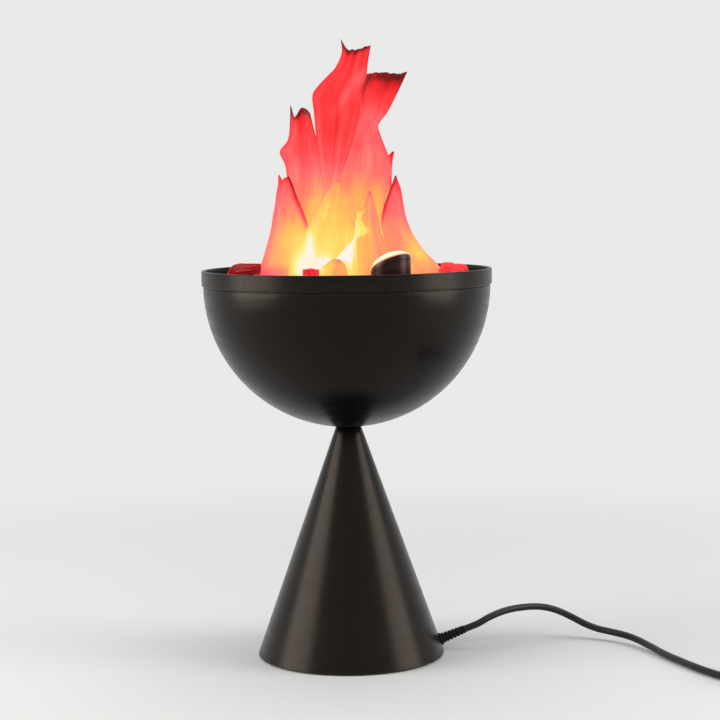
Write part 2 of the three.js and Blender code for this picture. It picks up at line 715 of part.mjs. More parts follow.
function lampPod({ name, azimuth, place }) {
  const pod = new THREE.Group();
  pod.position.copy(place);
  pod.rotation.z = azimuth + rad(podMouthTurn);
  group.add(pod);

  const body = rod(podRadius, 0, podHeight + overrun, podFacets);
  const bore = rod(podInner, podFloor, podHeight + 2 * overrun, podFacets);
  const wide = common(bore, aboveMouth(-lensThickness));
  const narrow = rod(podCore, podFloor, podHeight + 2 * overrun, podFacets);
  add(`lamp_housing_${name}`, cut(body, aboveMouth(0), wide, narrow), blackPlastic, pod);

  const blank = rod(podInner - seat, podFloor, podHeight + lensRise, podFacets);
  const domeReach = podInner / Math.cos(mouthTilt);
  const domeRadius = (domeReach ** 2 + lensRise ** 2) / (2 * lensRise);
  const tiltDirection = v3(-Math.sin(mouthTilt), 0, Math.cos(mouthTilt));
  const mouthMiddle = v3(0, 0, podHeight - podRadius * Math.tan(mouthTilt));
  const domeCentre = mouthMiddle.clone().addScaledVector(tiltDirection, lensRise - domeRadius);
  const dome = new THREE.SphereGeometry(domeRadius, domeFacets, domeFacets).rotateX(Math.PI / 2)
    .rotateY(-mouthTilt).translate(domeCentre.x, domeCentre.y, domeCentre.z);
  const upperPart = common(blank, aboveMouth(-lensThickness + seat));
  add(`lamp_lens_${name}`, common(upperPart, dome), lampLens, pod);

  const sinkZ = podFloor + seat;
  const sinkRadius = podCore - lampClearance;
  const fins = Array.from({ length: heatSinkFins / 2 }, (_, k) =>
    block(2 * sinkRadius, podWall, heatSinkHeight)
      .translate(0, 0, sinkZ + heatSinkHeight / 2).rotateZ(2 * Math.PI * k / heatSinkFins));
  const core = rod(sinkRadius / 2, sinkZ, sinkZ + heatSinkHeight, 12);
  const round = rod(sinkRadius, sinkZ - overrun, sinkZ + heatSinkHeight + overrun);
  add(`lamp_heat_sink_${name}`, common(join(core, ...fins), round), aluminium, pod);
  const boardZ = sinkZ + heatSinkHeight + seat;
  const boardTop = boardZ + boardThickness;
  add(`lamp_board_${name}`, revolve([
    [0, boardZ], [sinkRadius, boardZ], [sinkRadius, boardTop], [ledRadius, boardTop],
    [ledRadius * 0.7, boardTop + ledRadius * 0.7], [0, boardTop + ledRadius],
  ]), boardWhite, pod);
}

// Silk tongues. Each follows a sector of the hoop, in degrees, outside or inside it. Above
// the hoop it goes through rows of shares: left edge x, y, z, right edge x, y, z, and bow.
// x and bow are shares of the hoop's half length, y of its half width, and z of the flame's
// height over the deck. Left and right are as seen from outside the oval.
const silkTongues = [
  { name: 'low_left', sector: [129, 231], inside: false, waves: 1.5, shares: [
    [-0.55, 0.70, 0.11, -0.55, -0.70, 0.11, 0.39],
    [-0.50, 0.60, 0.17, -0.48, -0.60, 0.17, 0.36],
    [-0.44, 0.50, 0.24, -0.42, -0.50, 0.24, 0.36],
    [-0.42, 0.42, 0.30, -0.38, -0.42, 0.30, 0.35],
    [-0.48, 0.32, 0.36, -0.45, -0.32, 0.36, 0.26],
    [-0.60, 0.13, 0.42, -0.51, -0.20, 0.42, 0.13],
    [-0.62, 0.06, 0.465, -0.565, -0.10, 0.465, 0.07],
    [-0.63, 0.02, 0.49, -0.62, -0.02, 0.495, 0],
  ] },
  { name: 'front_left', sector: [233, 269], inside: false, waves: 1, split: 2, shares: [
    [-0.57, -0.79, 0.10, -0.03, -0.97, 0.10, 0.04],
    [-0.50, -0.72, 0.20, 0.01, -0.88, 0.20, 0.05],
    [-0.38, -0.64, 0.30, 0.05, -0.78, 0.30, 0.05],
    [-0.27, -0.59, 0.38, 0.04, -0.69, 0.38, 0.04],
    [-0.16, -0.55, 0.44, 0.00, -0.60, 0.44, 0.02],
    [-0.07, -0.55, 0.48, -0.05, -0.55, 0.48, 0],
  ] },
  { name: 'front_right', sector: [271, 307], inside: false, waves: 1, split: 2, shares: [
    [0.05, -0.96, 0.10, 0.56, -0.79, 0.10, 0.04],
    [0.08, -0.87, 0.20, 0.46, -0.72, 0.20, 0.04],
    [0.11, -0.79, 0.28, 0.37, -0.66, 0.28, 0.04],
    [0.14, -0.72, 0.345, 0.32, -0.62, 0.345, 0.02],
    [0.19, -0.66, 0.40, 0.27, -0.62, 0.40, 0.01],
    [0.22, -0.63, 0.435, 0.24, -0.62, 0.435, 0],
  ] },
  { name: 'low_right', sector: [309, 411], inside: false, waves: 1.5, shares: [
    [0.58, -0.72, 0.11, 0.58, 0.72, 0.11, 0.41],
    [0.55, -0.66, 0.16, 0.55, 0.66, 0.16, 0.36],
    [0.48, -0.58, 0.205, 0.48, 0.58, 0.205, 0.32],
    [0.40, -0.50, 0.26, 0.41, 0.50, 0.26, 0.29],
    [0.34, -0.42, 0.315, 0.38, 0.42, 0.315, 0.26],
    [0.37, -0.30, 0.38, 0.42, 0.30, 0.38, 0.18],
    [0.43, -0.15, 0.44, 0.47, 0.16, 0.44, 0.09],
    [0.48, -0.02, 0.49, 0.49, 0.02, 0.49, 0],
  ] },
  { name: 'back_right', sector: [53, 89], inside: false, waves: 1, split: 2, shares: [
    [0.57, 0.79, 0.10, 0.03, 0.97, 0.10, 0.04],
    [0.52, 0.70, 0.23, 0.06, 0.84, 0.23, 0.04],
    [0.47, 0.58, 0.36, 0.11, 0.70, 0.36, 0.04],
    [0.45, 0.48, 0.46, 0.22, 0.58, 0.46, 0.03],
    [0.46, 0.42, 0.54, 0.36, 0.46, 0.54, 0.01],
    [0.48, 0.40, 0.58, 0.46, 0.41, 0.58, 0],
  ] },
  { name: 'back_left', sector: [91, 127], inside: false, waves: 1, split: 2, shares: [
    [-0.03, 0.97, 0.10, -0.57, 0.79, 0.10, 0.04],
    [-0.06, 0.84, 0.23, -0.52, 0.70, 0.23, 0.04],
    [-0.14, 0.69, 0.36, -0.46, 0.58, 0.36, 0.04],
    [-0.25, 0.58, 0.46, -0.43, 0.50, 0.46, 0.02],
    [-0.37, 0.48, 0.54, -0.39, 0.47, 0.54, 0],
  ] },
  { name: 'mid_left', sector: [172, 238], inside: true, waves: 1, shares: [
    [-0.88, 0.12, 0.10, -0.46, -0.72, 0.10, 0.10],
    [-0.78, 0.10, 0.20, -0.40, -0.56, 0.20, 0.08],
    [-0.66, 0.10, 0.30, -0.31, -0.38, 0.30, 0.06],
    [-0.57, 0.16, 0.42, -0.20, -0.20, 0.42, 0.03],
    [-0.585, 0.19, 0.53, -0.19, -0.06, 0.53, 0.02],
    [-0.64, 0.18, 0.585, -0.225, -0.04, 0.585, 0.02],
    [-0.56, 0.18, 0.625, -0.27, -0.02, 0.625, 0.02],
    [-0.53, 0.18, 0.675, -0.33, 0.00, 0.67, 0.02],
    [-0.51, 0.18, 0.73, -0.40, 0.04, 0.715, 0.01],
  ] },
  { name: 'tall_centre', sector: [240, 302], inside: true, waves: 1.5, shares: [
    [-0.35, -0.78, 0.10, 0.42, -0.74, 0.10, 0.06],
    [-0.29, -0.66, 0.20, 0.30, -0.62, 0.20, 0.05],
    [-0.23, -0.50, 0.32, 0.08, -0.50, 0.32, 0.03],
    [-0.21, -0.38, 0.43, -0.08, -0.38, 0.43, 0.01],
    [-0.25, -0.26, 0.55, 0.02, -0.28, 0.55, 0.02],
    [-0.28, -0.20, 0.64, 0.095, -0.22, 0.64, 0.03],
    [-0.295, -0.16, 0.72, 0.145, -0.18, 0.71, 0.02],
    [-0.305, -0.12, 0.79, 0.155, -0.16, 0.76, 0.02],
    [-0.24, -0.10, 0.825, 0.16, -0.14, 0.80, 0.02],
    [-0.15, -0.08, 0.86, 0.21, -0.12, 0.85, 0.01],
    [-0.08, -0.06, 0.89, 0.23, -0.10, 0.905, 0.01],
    [-0.02, -0.06, 0.945, 0.25, -0.08, 0.945, 0.01],
    [-0.03, -0.06, 0.998, 0.26, -0.06, 0.97, 0],
  ] },
  { name: 'tall_right', sector: [304, 380], inside: true, waves: 1, shares: [
    [0.64, -0.54, 0.10, 0.82, 0.34, 0.10, 0.06],
    [0.44, -0.36, 0.20, 0.60, 0.36, 0.20, 0.06],
    [0.22, -0.24, 0.26, 0.48, 0.32, 0.26, 0.04],
    [0.02, -0.16, 0.32, 0.41, 0.28, 0.32, 0.03],
    [-0.09, -0.10, 0.38, 0.38, 0.24, 0.38, 0.02],
    [-0.11, -0.04, 0.44, 0.40, 0.22, 0.44, 0.02],
    [-0.06, 0.00, 0.505, 0.45, 0.20, 0.505, 0.02],
    [-0.02, 0.04, 0.545, 0.435, 0.18, 0.545, 0.02],
    [0.04, 0.10, 0.60, 0.385, 0.12, 0.60, 0.01],
    [0.07, 0.16, 0.64, 0.345, 0.06, 0.64, 0],
    [0.09, 0.22, 0.675, 0.32, 0.02, 0.675, 0],
    [0.12, 0.30, 0.73, 0.42, 0.12, 0.73, 0],
    [0.12, 0.34, 0.80, 0.52, 0.20, 0.80, 0.02],
    [0.20, 0.32, 0.875, 0.615, 0.24, 0.875, 0.02],
  ] },
  { name: 'back_inner', sector: [58, 122], inside: true, waves: 1, shares: [
    [0.38, 0.74, 0.10, -0.38, 0.74, 0.10, 0.04],
    [0.32, 0.62, 0.20, -0.34, 0.60, 0.20, 0.04],
    [0.27, 0.52, 0.32, -0.27, 0.50, 0.32, 0.04],
    [0.20, 0.44, 0.44, -0.20, 0.42, 0.44, 0.03],
    [0.13, 0.42, 0.55, -0.17, 0.40, 0.55, 0.02],
    [0.06, 0.42, 0.63, -0.14, 0.40, 0.63, 0.01],
    [-0.05, 0.42, 0.70, -0.07, 0.42, 0.70, 0],
  ] },
];

// The degrees of a tongue's columns: the hoop's corners within its sector, and its own ends
function tongueColumns([start, end], split = 1) {
  const step = 360 / hoopFacets / split;
  const columns = [start];
  for (let k = Math.ceil((start + 0.5) / step); k * step < end - 0.5; k++) columns.push(k * step);
  return [...columns, end];
}

function tongueGrid({ sector, inside, waves, split, shares }) {
  const offset = inside ? -(hoopWall + seat + silkThickness / 2) : seat + silkThickness / 2;
  const columns = tongueColumns(sector, split);
  const across = columns.map(degrees => (degrees - sector[0]) / (sector[1] - sector[0]));
  const hem = z => columns.map(degrees => {
    const place = ovalAt(degrees, offset);
    return v3(place.x, place.y, z);
  });
  const free = shares.map((row, r) => {
    const [left, right] = [0, 3].map(k => v3(
      row[k] * hoopHalfLength, row[k + 1] * hoopHalfWidth, deckTopZ + row[k + 2] * flameHeight));
    const along = right.clone().sub(left);
    const outward = v3(along.y, -along.x, 0).normalize();
    const narrow = Math.min(1, along.length() / hoopHalfWidth * 2);
    const fold = foldDepth * narrow * (r ? 1 : 1 / 2);
    return across.map(u => {
      const bow = row[6] * hoopHalfLength * 4 * u * (1 - u);
      const wave = fold * Math.sin(2 * Math.PI * waves * u) * Math.sin(Math.PI * u);
      return left.clone().lerp(right, u).addScaledVector(outward, bow + wave);
    });
  });
  return [hem(hoopZ + seat), hem(hoopTopZ + seat), ...free];
}

// A grid of points thickened both ways along its own normals
function clothBody(grid) {
  const [rows, count] = [grid.length, grid[0].length];
  const at = (r, k) => grid[THREE.MathUtils.clamp(r, 0, rows - 1)][THREE.MathUtils.clamp(k, 0, count - 1)];
  const rings = grid.map((row, r) => {
    const normals = row.map((_, k) => {
      const across = at(r, k + 1).clone().sub(at(r, k - 1));
      const up = r < 2 ? v3(0, 0, 1) : at(r + 1, k).clone().sub(at(r - 1, k));
      return across.cross(up).normalize();
    });
    const shifted = distance => row.map((p, k) => p.clone().addScaledVector(normals[k], distance));
    return [...shifted(silkThickness / 2), ...shifted(-silkThickness / 2).reverse()];
  });
  return loft(rings);
}

// Rolled silk corners: tied bundles that stand on the deck beside the hoop. The shares are
// the distance out from the silk in roll radii, the place along the hoop in its half width
// or length, and the height from the deck to the rim.
const silkRolls = [
  { name: 'left', azimuth: 180, shares: [
    [0.80, 0.02, 0], [0.82, 0.02, 0.4], [0.80, 0.10, 0.80], [-0.2, 0.30, 1.03],
    [-2.4, 0.46, 1.06], [-4.5, 0.52, 1.06],
  ] },
  { name: 'front', azimuth: -90, shares: [[1.25, -0.33, 0], [1.25, -0.335, 0.5], [1.05, -0.33, 1.08]] },
  { name: 'right', azimuth: 0, shares: [
    [1.68, 0.02, 0], [1.70, 0.02, 0.4], [1.72, -0.03, 0.74], [1.0, -0.16, 0.93],
    [-0.6, -0.34, 0.97], [-3.0, -0.46, 0.98],
  ] },
];

function silkRoll({ name, azimuth, shares }) {
  const height = rimTopZ - hoopZ;
  const endways = azimuth % 180 === 0;
  const [reach, width] = endways ? [hoopHalfLength, hoopHalfWidth] : [hoopHalfWidth, hoopHalfLength];
  const points = shares.map(([out, along, up]) =>
    v3(reach + silkStandOff + rollRadius * (out + 1), along * width, hoopZ + up * height)
      .applyAxisAngle(v3(0, 0, 1), rad(azimuth)));
  const path = new THREE.CatmullRomCurve3(points);
  add(`silk_roll_${name}`, tube(path, rollRadius, 2 * points.length, rollSides), redSilk);
}

function silk() {
  silkHoop();
  for (const tongue of silkTongues) {
    add(`silk_${tongue.name}`, clothBody(tongueGrid(tongue)), redSilk);
  }
  silkRolls.forEach(silkRoll);
}

// Grommet and strain relief, built along X and turned to the cone's wall
function grommet() {
  const wall = coneWall;
  const flange = grommetFlangeThickness;
  const innerFace = -wall - grommetInnerGap;
  const inEnd = innerFace - flange;
  const profile = [
    [0, inEnd], [grommetFlange - seat, inEnd], [grommetFlange, innerFace],
    [grommetNeck, innerFace], [grommetNeck, seat], [grommetFlange, seat],
    [grommetFlange, seat + flange / 2], [grommetNeck, seat + flange],
    [reliefTip, reliefLength], [0, reliefLength],
  ];
  add('cord_grommet', alongGrommet(revolve(profile)), blackRubber);
  return grommetMouth.clone().addScaledVector(wayOut, inEnd - seat);
}

// The lead inside: from the grommet over the base plate, up through the stem, to the driver
function leadInside(start) {
  const inward = wayOut.clone().negate();
  const radial = turned(1, grommetAngle, 0);
  const half = cordDiameter / 2;
  const floorZ = plateTopZ + cordDiameter;
  const at = (radius, z) => radial.clone().multiplyScalar(radius).setZ(z);
  const end = driverBottom.clone().setZ(driverBottom.z - seat);
  const onWay = (share, height) => end.clone().multiplyScalar(share)
    .setZ(THREE.MathUtils.lerp(stemTopZ, end.z, height));
  const points = [
    start,
    start.clone().addScaledVector(inward, half),
    at(plateRadius - leadBend / 2, start.z + half / 2),
    at(plateRadius - leadBend, floorZ),
    at(leadBend * 1.6, floorZ + half / 2),
    at(leadBend * 0.9, floorZ + half),
    at(leadBend * 0.3, floorZ + leadBend * 0.45),
    at(0, floorZ + leadBend * 1.2),
    at(0, (floorZ + stemBottomZ) / 2),
    at(0, stemBottomZ),
    at(0, stemTopZ),
    at(0, stemTopZ + half),
    onWay(0.2, 0.35),
    onWay(0.75, 0.6),
    end.clone().setZ(end.z - cordDiameter),
    end,
  ];
  const path = new THREE.CatmullRomCurve3(points, false, 'centripetal');
  add('mains_lead_inside', tube(path, half, 32), cordVinyl);
}

// The cord's route outside, up to the coil. Its first two points come from the grommet.
const cordRoute = [
  [101.5, 20.2, 20.8], [113.7, 26.2, 24], [127.5, 32.7, 24.8], [139.7, 37.4, 23.9],
  [147.3, 39.3, 22.1], [154.8, 40.3, 19.3], [163.6, 39.9, 15], [172.2, 37.8, 10.7],
  [180.6, 34.3, 7.9], [190.2, 28.6, 6.6], [199.3, 20.5, 5.9], [206.6, 10.7, 5], [214.4, -5, 3.5],
  [222.2, -27, 2.7], [229.1, -44.8, 2.7], [235.9, -61.1, 2.7], [241.9, -73.6, 2.7],
  [249.1, -85.9, 2.7], [254.9, -95.5, 2.7], [260.1, -104, 2.7],
];

// Coil: in from its start to the inner radius, up a layer in half a turn, and out again
function coilPoints(start, heading) {
  const pitch = cordDiameter + coilGap;
  const outer = coilInnerRadius + pitch * coilTurnsBelow;
  const startAngle = Math.atan2(-heading.x, heading.y);
  const left = v3(-heading.y, heading.x, 0);
  const centre = start.clone().addScaledVector(heading, cordDiameter).addScaledVector(left, outer);
  const middle = coilTurnsBelow + 1 / 4;
  const total = coilTurnsBelow + 1 / 2 + coilTurnsAbove;
  const steps = Math.round(total * coilFacets);
  const points = [start.clone()];
  for (let k = 0; k <= steps; k++) {
    const turn = total * k / steps;
    const radius = coilInnerRadius + pitch * Math.max(0, Math.abs(turn - middle) - 1 / 4);
    const climb = THREE.MathUtils.smoothstep(turn, coilTurnsBelow, coilTurnsBelow + 1 / 2);
    const offset = turned(radius, startAngle + 2 * Math.PI * turn, climb * pitch);
    points.push(centre.clone().add(offset));
  }
  const last = points.at(-1);
  const endAngle = startAngle + 2 * Math.PI * total;
  const endHeading = v3(-Math.sin(endAngle), Math.cos(endAngle), 0);
  points.push(last.clone().addScaledVector(endHeading, cordDiameter));
  return { points, endHeading };
}

// A tube through given points, with a section square to the way at each of them
function tubeThrough(points, radius, sides) {
  const rings = points.map((p, k) => {
    const before = points[Math.max(0, k - 1)];
    const after = points[Math.min(points.length - 1, k + 1)];
    const forward = after.clone().sub(before).normalize();
    const side = v3(forward.y, -forward.x, 0).normalize();
    const up = side.clone().cross(forward);
    return Array.from({ length: sides }, (_, n) => {
      const angle = 2 * Math.PI * (n + 1 / 2) / sides;
      return p.clone().addScaledVector(side, radius * Math.cos(angle))
        .addScaledVector(up, radius * Math.sin(angle));
    });
  });
  return loft(rings);
}

// The least gap between two stretches of a tube that are more than half a turn apart
function leastGap(points, radius, apart) {
  let least = Infinity;
  points.forEach((a, i) => points.slice(i + apart).forEach(b => {
    least = Math.min(least, a.distanceTo(b) - 2 * radius);
  }));
  return least;
}

function straightCord(name, start, heading, length, drop = 0) {
  const end = start.clone().addScaledVector(heading, length).add(v3(0, 0, -drop));
  const level = cordDiameter;
  const path = new THREE.CatmullRomCurve3([
    start,
    start.clone().addScaledVector(heading, level),
    end.clone().addScaledVector(heading, -level),
    end,
  ]);
  add(name, tube(path, cordDiameter / 2, 6), cordVinyl);
  return end;
}

function cord() {
  const insideStart = grommet();
  leadInside(insideStart);
  const exit = grommetMouth.clone().addScaledVector(wayOut, reliefLength + seat);
  const points = [
    exit,
    exit.clone().addScaledVector(wayOut, 2 * cordDiameter),
    ...cordRoute.map(([x, y, z]) => v3(x, y, z)),
  ];
  const path = new THREE.CatmullRomCurve3(points, false, 'centripetal');
  add('cord_lead', tube(path, cordDiameter / 2, 44), cordVinyl);

  const heading = points.at(-1).clone().sub(points.at(-2)).setZ(0).normalize();
  const coilStart = points.at(-1).clone().addScaledVector(heading, seat);
  const coil = coilPoints(coilStart, heading);
  add('cord_coil', tubeThrough(coil.points, cordDiameter / 2, cordSides), cordVinyl);
  const gap = leastGap(coil.points, cordDiameter / 2, coilFacets / 2);
  console.log(`least gap of the cord's coil to itself: ${gap.toFixed(2)} mm`);

  const way = coil.endHeading;
  const linkStart = coil.points.at(-1).clone().addScaledVector(way, seat);
  const linkEnd = straightCord('cord_link', linkStart, way, linkLength);
  const switchStart = linkEnd.clone().addScaledVector(way, seat);
  const switchEnd = inlineSwitch(switchStart, way);
  const tailStart = switchEnd.clone().addScaledVector(way, seat);
  const tailEnd = straightCord('cord_tail', tailStart, way, tailLength, tailDrop);
  plug(tailEnd.clone().addScaledVector(way, seat), way);
}

// In-line switch: two shells and a rocker. Its frame has X along the cord, Z up.
function inlineSwitch(start, way) {
  const frame = new THREE.Group();
  frame.position.copy(start).addScaledVector(way, switchLength / 2);
  frame.rotation.z = Math.atan2(way.y, way.x);
  group.add(frame);

  const halfHeight = start.z - switchFloorGap;
  const corner = switchWidth / 2.6;
  const outer = roundedRectangle(switchLength, switchWidth, corner);
  const inner = roundedRectangle(switchLength - 2 * switchWall, switchWidth - 2 * switchWall,
    corner - switchWall);
  const shellHalf = () => {
    const body = prism(outer, halfHeight - seat / 2, 4);
    const hollow = prism(inner, halfHeight - seat / 2 - switchWall, 4);
    return cut(body, hollow.translate(0, 0, -overrun), hollow.clone());
  };
  add('switch_base', shellHalf().rotateX(Math.PI).translate(0, 0, -seat / 2), blackPlastic, frame);

  const topZ = halfHeight;
  const pivotZ = topZ - switchWall;
  const window = block(rockerLength + 2 * rockerGap, rockerWidth + 2 * seat,
    4 * overrun + 2 * switchWall).translate(0, 0, topZ);
  const cheekY = rockerWidth / 2 + seat + pivotLength / 2;
  const cheeks = [1, -1].map(side => block(rockerLength / 2, pivotLength, cheekDepth)
    .translate(0, side * (cheekY + seat), pivotZ + switchWall / 2 - cheekDepth / 2));
  const pivot = pivotZ - cheekDepth / 3;
  const bore = rod(pivotRadius + pivotRunning, -switchWidth / 3, switchWidth / 3, roundFacets)
    .rotateX(Math.PI / 2).translate(0, 0, pivot);
  const cover = cut(join(shellHalf().translate(0, 0, seat / 2), ...cheeks), window, bore);
  add('switch_cover', cover, blackPlastic, frame);

  const x = rockerLength / 2;
  const rise = topZ - pivot + rockerRise;
  const outline = new THREE.Shape([
    v2(-x, 0), v2(-x / 2, -rockerDepth), v2(x / 2, -rockerDepth), v2(x, 0),
    v2(x, rise), v2(0, rise - rockerRise / 2), v2(-x, rise),
  ]);
  const body = prism(outline, rockerWidth).translate(0, 0, -rockerWidth / 2).rotateX(Math.PI / 2);
  const pinReach = rockerWidth / 2 + pivotLength;
  const pins = rod(pivotRadius, -pinReach, pinReach, roundFacets).rotateX(Math.PI / 2);
  const tilted = join(body, pins).rotateY(rad(rockerTilt));
  add('switch_rocker', tilted, blackPlastic, frame).position.z = pivot;
  return start.clone().addScaledVector(way, switchLength);
}

// Plug: a flat body that grows from the cord's sleeve, with two round pins
function plug(start, way) {
  const frame = new THREE.Group();
  frame.position.copy(start);
  frame.rotation.z = Math.atan2(way.y, way.x);
  group.add(frame);

  const sleeve = cordDiameter * 0.7;
  // Rows of shares: along the length, and half width and half height from sleeve to full
  const bodyShares = [[0, 0, 0], [0.3, 0.05, 0.15], [0.4, 0.35, 0.5], [0.6, 0.9, 0.95], [1, 1, 1]];
  const sides = 12;
  const rings = bodyShares.map(([along, wide, high]) => {
    const halfWidth = THREE.MathUtils.lerp(sleeve, plugHalfWidth, wide);
    const halfHeight = THREE.MathUtils.lerp(sleeve, plugHalfHeight, high);
    return Array.from({ length: sides }, (_, k) => {
      const angle = 2 * Math.PI * (k + 1 / 2) / sides;
      const squared = value => Math.sign(value) * Math.abs(value) ** 0.7;
      return v3(along * plugLength, halfWidth * squared(Math.cos(angle)),
        halfHeight * squared(Math.sin(angle)));
    });
  });
  add('plug_body', loft(rings), blackPlastic, frame);
  [1, -1].forEach((side, k) => {
    const sleeveEnd = pinLength / 2;
    const pin = revolve([
      [0, 0], [pinRadius - pinSleeve, 0], [pinRadius - pinSleeve, sleeveEnd], [pinRadius, sleeveEnd],
      [pinRadius, pinLength - pinRadius], [pinRadius / 2, pinLength], [0, pinLength],
    ]).rotateY(Math.PI / 2);
    add(`plug_pin_${k + 1}`, pin, brass, frame)
      .position.set(plugLength + seat, side * pinSpacing / 2, 0);
  });
}

pedestal();
bowl();
rim();
deck();
stem();
fan();
podPlaces.forEach(lampPod);
silk();
cord();

export default group;
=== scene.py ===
from math import asin, atan2, copysign, cos, degrees, floor, hypot, pi, radians, sin, sqrt, tan

import bmesh
import bpy
import numpy as np
from mathutils import Matrix, Vector
from numpy.linalg import norm


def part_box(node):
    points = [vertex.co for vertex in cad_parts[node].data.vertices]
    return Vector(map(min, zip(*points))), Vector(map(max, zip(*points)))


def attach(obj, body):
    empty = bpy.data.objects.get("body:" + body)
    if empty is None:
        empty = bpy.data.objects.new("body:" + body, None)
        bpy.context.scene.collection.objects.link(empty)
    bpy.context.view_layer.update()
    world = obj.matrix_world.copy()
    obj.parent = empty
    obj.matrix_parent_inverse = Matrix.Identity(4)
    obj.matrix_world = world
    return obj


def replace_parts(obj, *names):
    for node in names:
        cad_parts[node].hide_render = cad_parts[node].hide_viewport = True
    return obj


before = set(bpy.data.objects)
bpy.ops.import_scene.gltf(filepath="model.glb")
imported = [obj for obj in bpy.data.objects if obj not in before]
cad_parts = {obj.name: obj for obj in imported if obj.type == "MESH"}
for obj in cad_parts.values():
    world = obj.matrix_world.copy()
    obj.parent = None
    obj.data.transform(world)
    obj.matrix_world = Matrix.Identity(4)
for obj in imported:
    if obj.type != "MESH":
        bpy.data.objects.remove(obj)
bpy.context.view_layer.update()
scene = bpy.context.scene
scene.view_settings.view_transform = "Standard"

# Lengths below are in mm, as in the CAD, and MM turns them into Blender's metres
MM = 0.001



def new_object(name, data):
    """An object in the scene."""
    made = bpy.data.objects.new(name, data)
    scene.collection.objects.link(made)
    return made


# Camera, fitted to the photo's outlines: metres and degrees
CAMERA_PLACE = (0.0087, -1.377, 0.337)
CAMERA_TILT, CAMERA_ROLL = 84.8, -0.69
CAMERA_LENS, CAMERA_SENSOR, CAMERA_REACH = 97.35, 36.0, 50.0
camera_data = bpy.data.cameras.new("camera")
camera_data.sensor_width = CAMERA_SENSOR
camera_data.lens = CAMERA_LENS
camera_data.clip_end = CAMERA_REACH
camera = new_object("camera", camera_data)
camera.matrix_world = (
    Matrix.Translation(CAMERA_PLACE)
    @ Matrix.Rotation(radians(CAMERA_TILT), 4, "X")
    @ Matrix.Rotation(radians(CAMERA_ROLL), 4, "Z")
)
scene.camera = camera


# Small helpers
def box(node):
    """A node's lowest and highest corners at rest, in mm."""
    low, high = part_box(node)
    return np.array(low) / MM, np.array(high) / MM


def srgb(r, g, b):
    """A screen colour, 0 to 255, as Blender's linear colour."""
    def linear(c):
        """One channel of it."""
        c /= 255.0
        return c / 12.92 if c <= 0.04045 else ((c + 0.055) / 1.055) ** 2.4
    return (linear(r), linear(g), linear(b), 1.0)


def smooth(edge0, edge1, x):
    """A soft step from 0 at edge0 to 1 at edge1."""
    t = np.clip((x - edge0) / (edge1 - edge0), 0.0, 1.0)
    return t * t * (3.0 - 2.0 * t)


def unit(v):
    """A vector with the length 1."""
    v = np.asarray(v, float)
    return v / norm(v)


def mark_sharp(mesh, angle):
    """Hard edges where faces meet at more than this angle, and all faces turned outward."""
    bm = bmesh.new()
    bm.from_mesh(mesh)
    bmesh.ops.recalc_face_normals(bm, faces=bm.faces)
    limit = radians(angle)
    for edge in bm.edges:
        edge.smooth = len(edge.link_faces) == 2 and edge.calc_face_angle(0.0) < limit
    bm.to_mesh(mesh)
    bm.free()


def new_mesh(name, verts, faces, material, body, sharp=None, attributes=None):
    """A smooth mesh piece from points in mm, riding on a CAD body."""
    mesh = bpy.data.meshes.new(name)
    mesh.from_pydata([tuple(float(c) * MM for c in v) for v in verts], [], faces)
    mesh.validate()
    for face in mesh.polygons:
        face.use_smooth = True
    for key, values in (attributes or {}).items():
        attribute = mesh.attributes.new(key, "FLOAT", "POINT")
        attribute.data.foreach_set("value", np.asarray(values, np.float32).ravel())
    mesh.materials.append(material)
    piece = new_object(name, mesh)
    if sharp is not None:
        mark_sharp(mesh, sharp)
    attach(piece, body)
    return piece


def stand_in(name, verts, faces, material, node, slot, sharp=None, attributes=None):
    """A detailed mesh piece that stands for a CAD node of the base."""
    piece = new_mesh(name, verts, faces, material, "base", sharp, attributes)
    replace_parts(piece, node)
    return piece


def join_pieces(*solids):
    """Several (verts, faces) pairs as one."""
    verts, faces = [], []
    for more_verts, more_faces in solids:
        start = len(verts)
        verts += [tuple(v) for v in more_verts]
        faces += [tuple(start + k for k in face) for face in more_faces]
    return verts, faces


def grid_faces(rows, columns, rows_close=False, columns_close=True):
    """Faces between the neighbours of a grid of points, which may close either way."""
    faces = []
    for r in range(rows if rows_close else rows - 1):
        n = (r + 1) % rows
        for k in range(columns if columns_close else columns - 1):
            m = (k + 1) % columns
            faces.append((r * columns + k, r * columns + m, n * columns + m, n * columns + k))
    return faces


def lathe(profile, segments, closed=True):
    """Verts and faces of a profile of (radius, z) turned about Z."""
    verts = []
    for s in range(segments):
        a = 2 * pi * s / segments
        verts += [(r * cos(a), r * sin(a), z) for r, z in profile]
    return verts, grid_faces(segments, len(profile), rows_close=True, columns_close=closed)


def rings_mesh(rings):
    """Verts and faces through rings of equal counts, with the end rings filled."""
    around = len(rings[0])
    last = (len(rings) - 1) * around
    ends = [tuple(reversed(range(around))), tuple(last + k for k in range(around))]
    verts = [tuple(p) for ring in rings for p in ring]
    return verts, grid_faces(len(rings), around) + ends


def placed(points, origin, turn):
    """Points turned about Z by an angle in degrees and moved to an origin."""
    a = radians(turn)
    c, s = cos(a), sin(a)
    return [(origin[0] + x * c - y * s, origin[1] + x * s + y * c, origin[2] + z)
            for x, y, z in points]


def arc(centre, radius, start, end, steps):
    """Points of an arc in a profile, angles in degrees."""
    angles = [radians(start + (end - start) * k / steps) for k in range(steps + 1)]
    return [(centre[0] + radius * cos(a), centre[1] + radius * sin(a)) for a in angles]


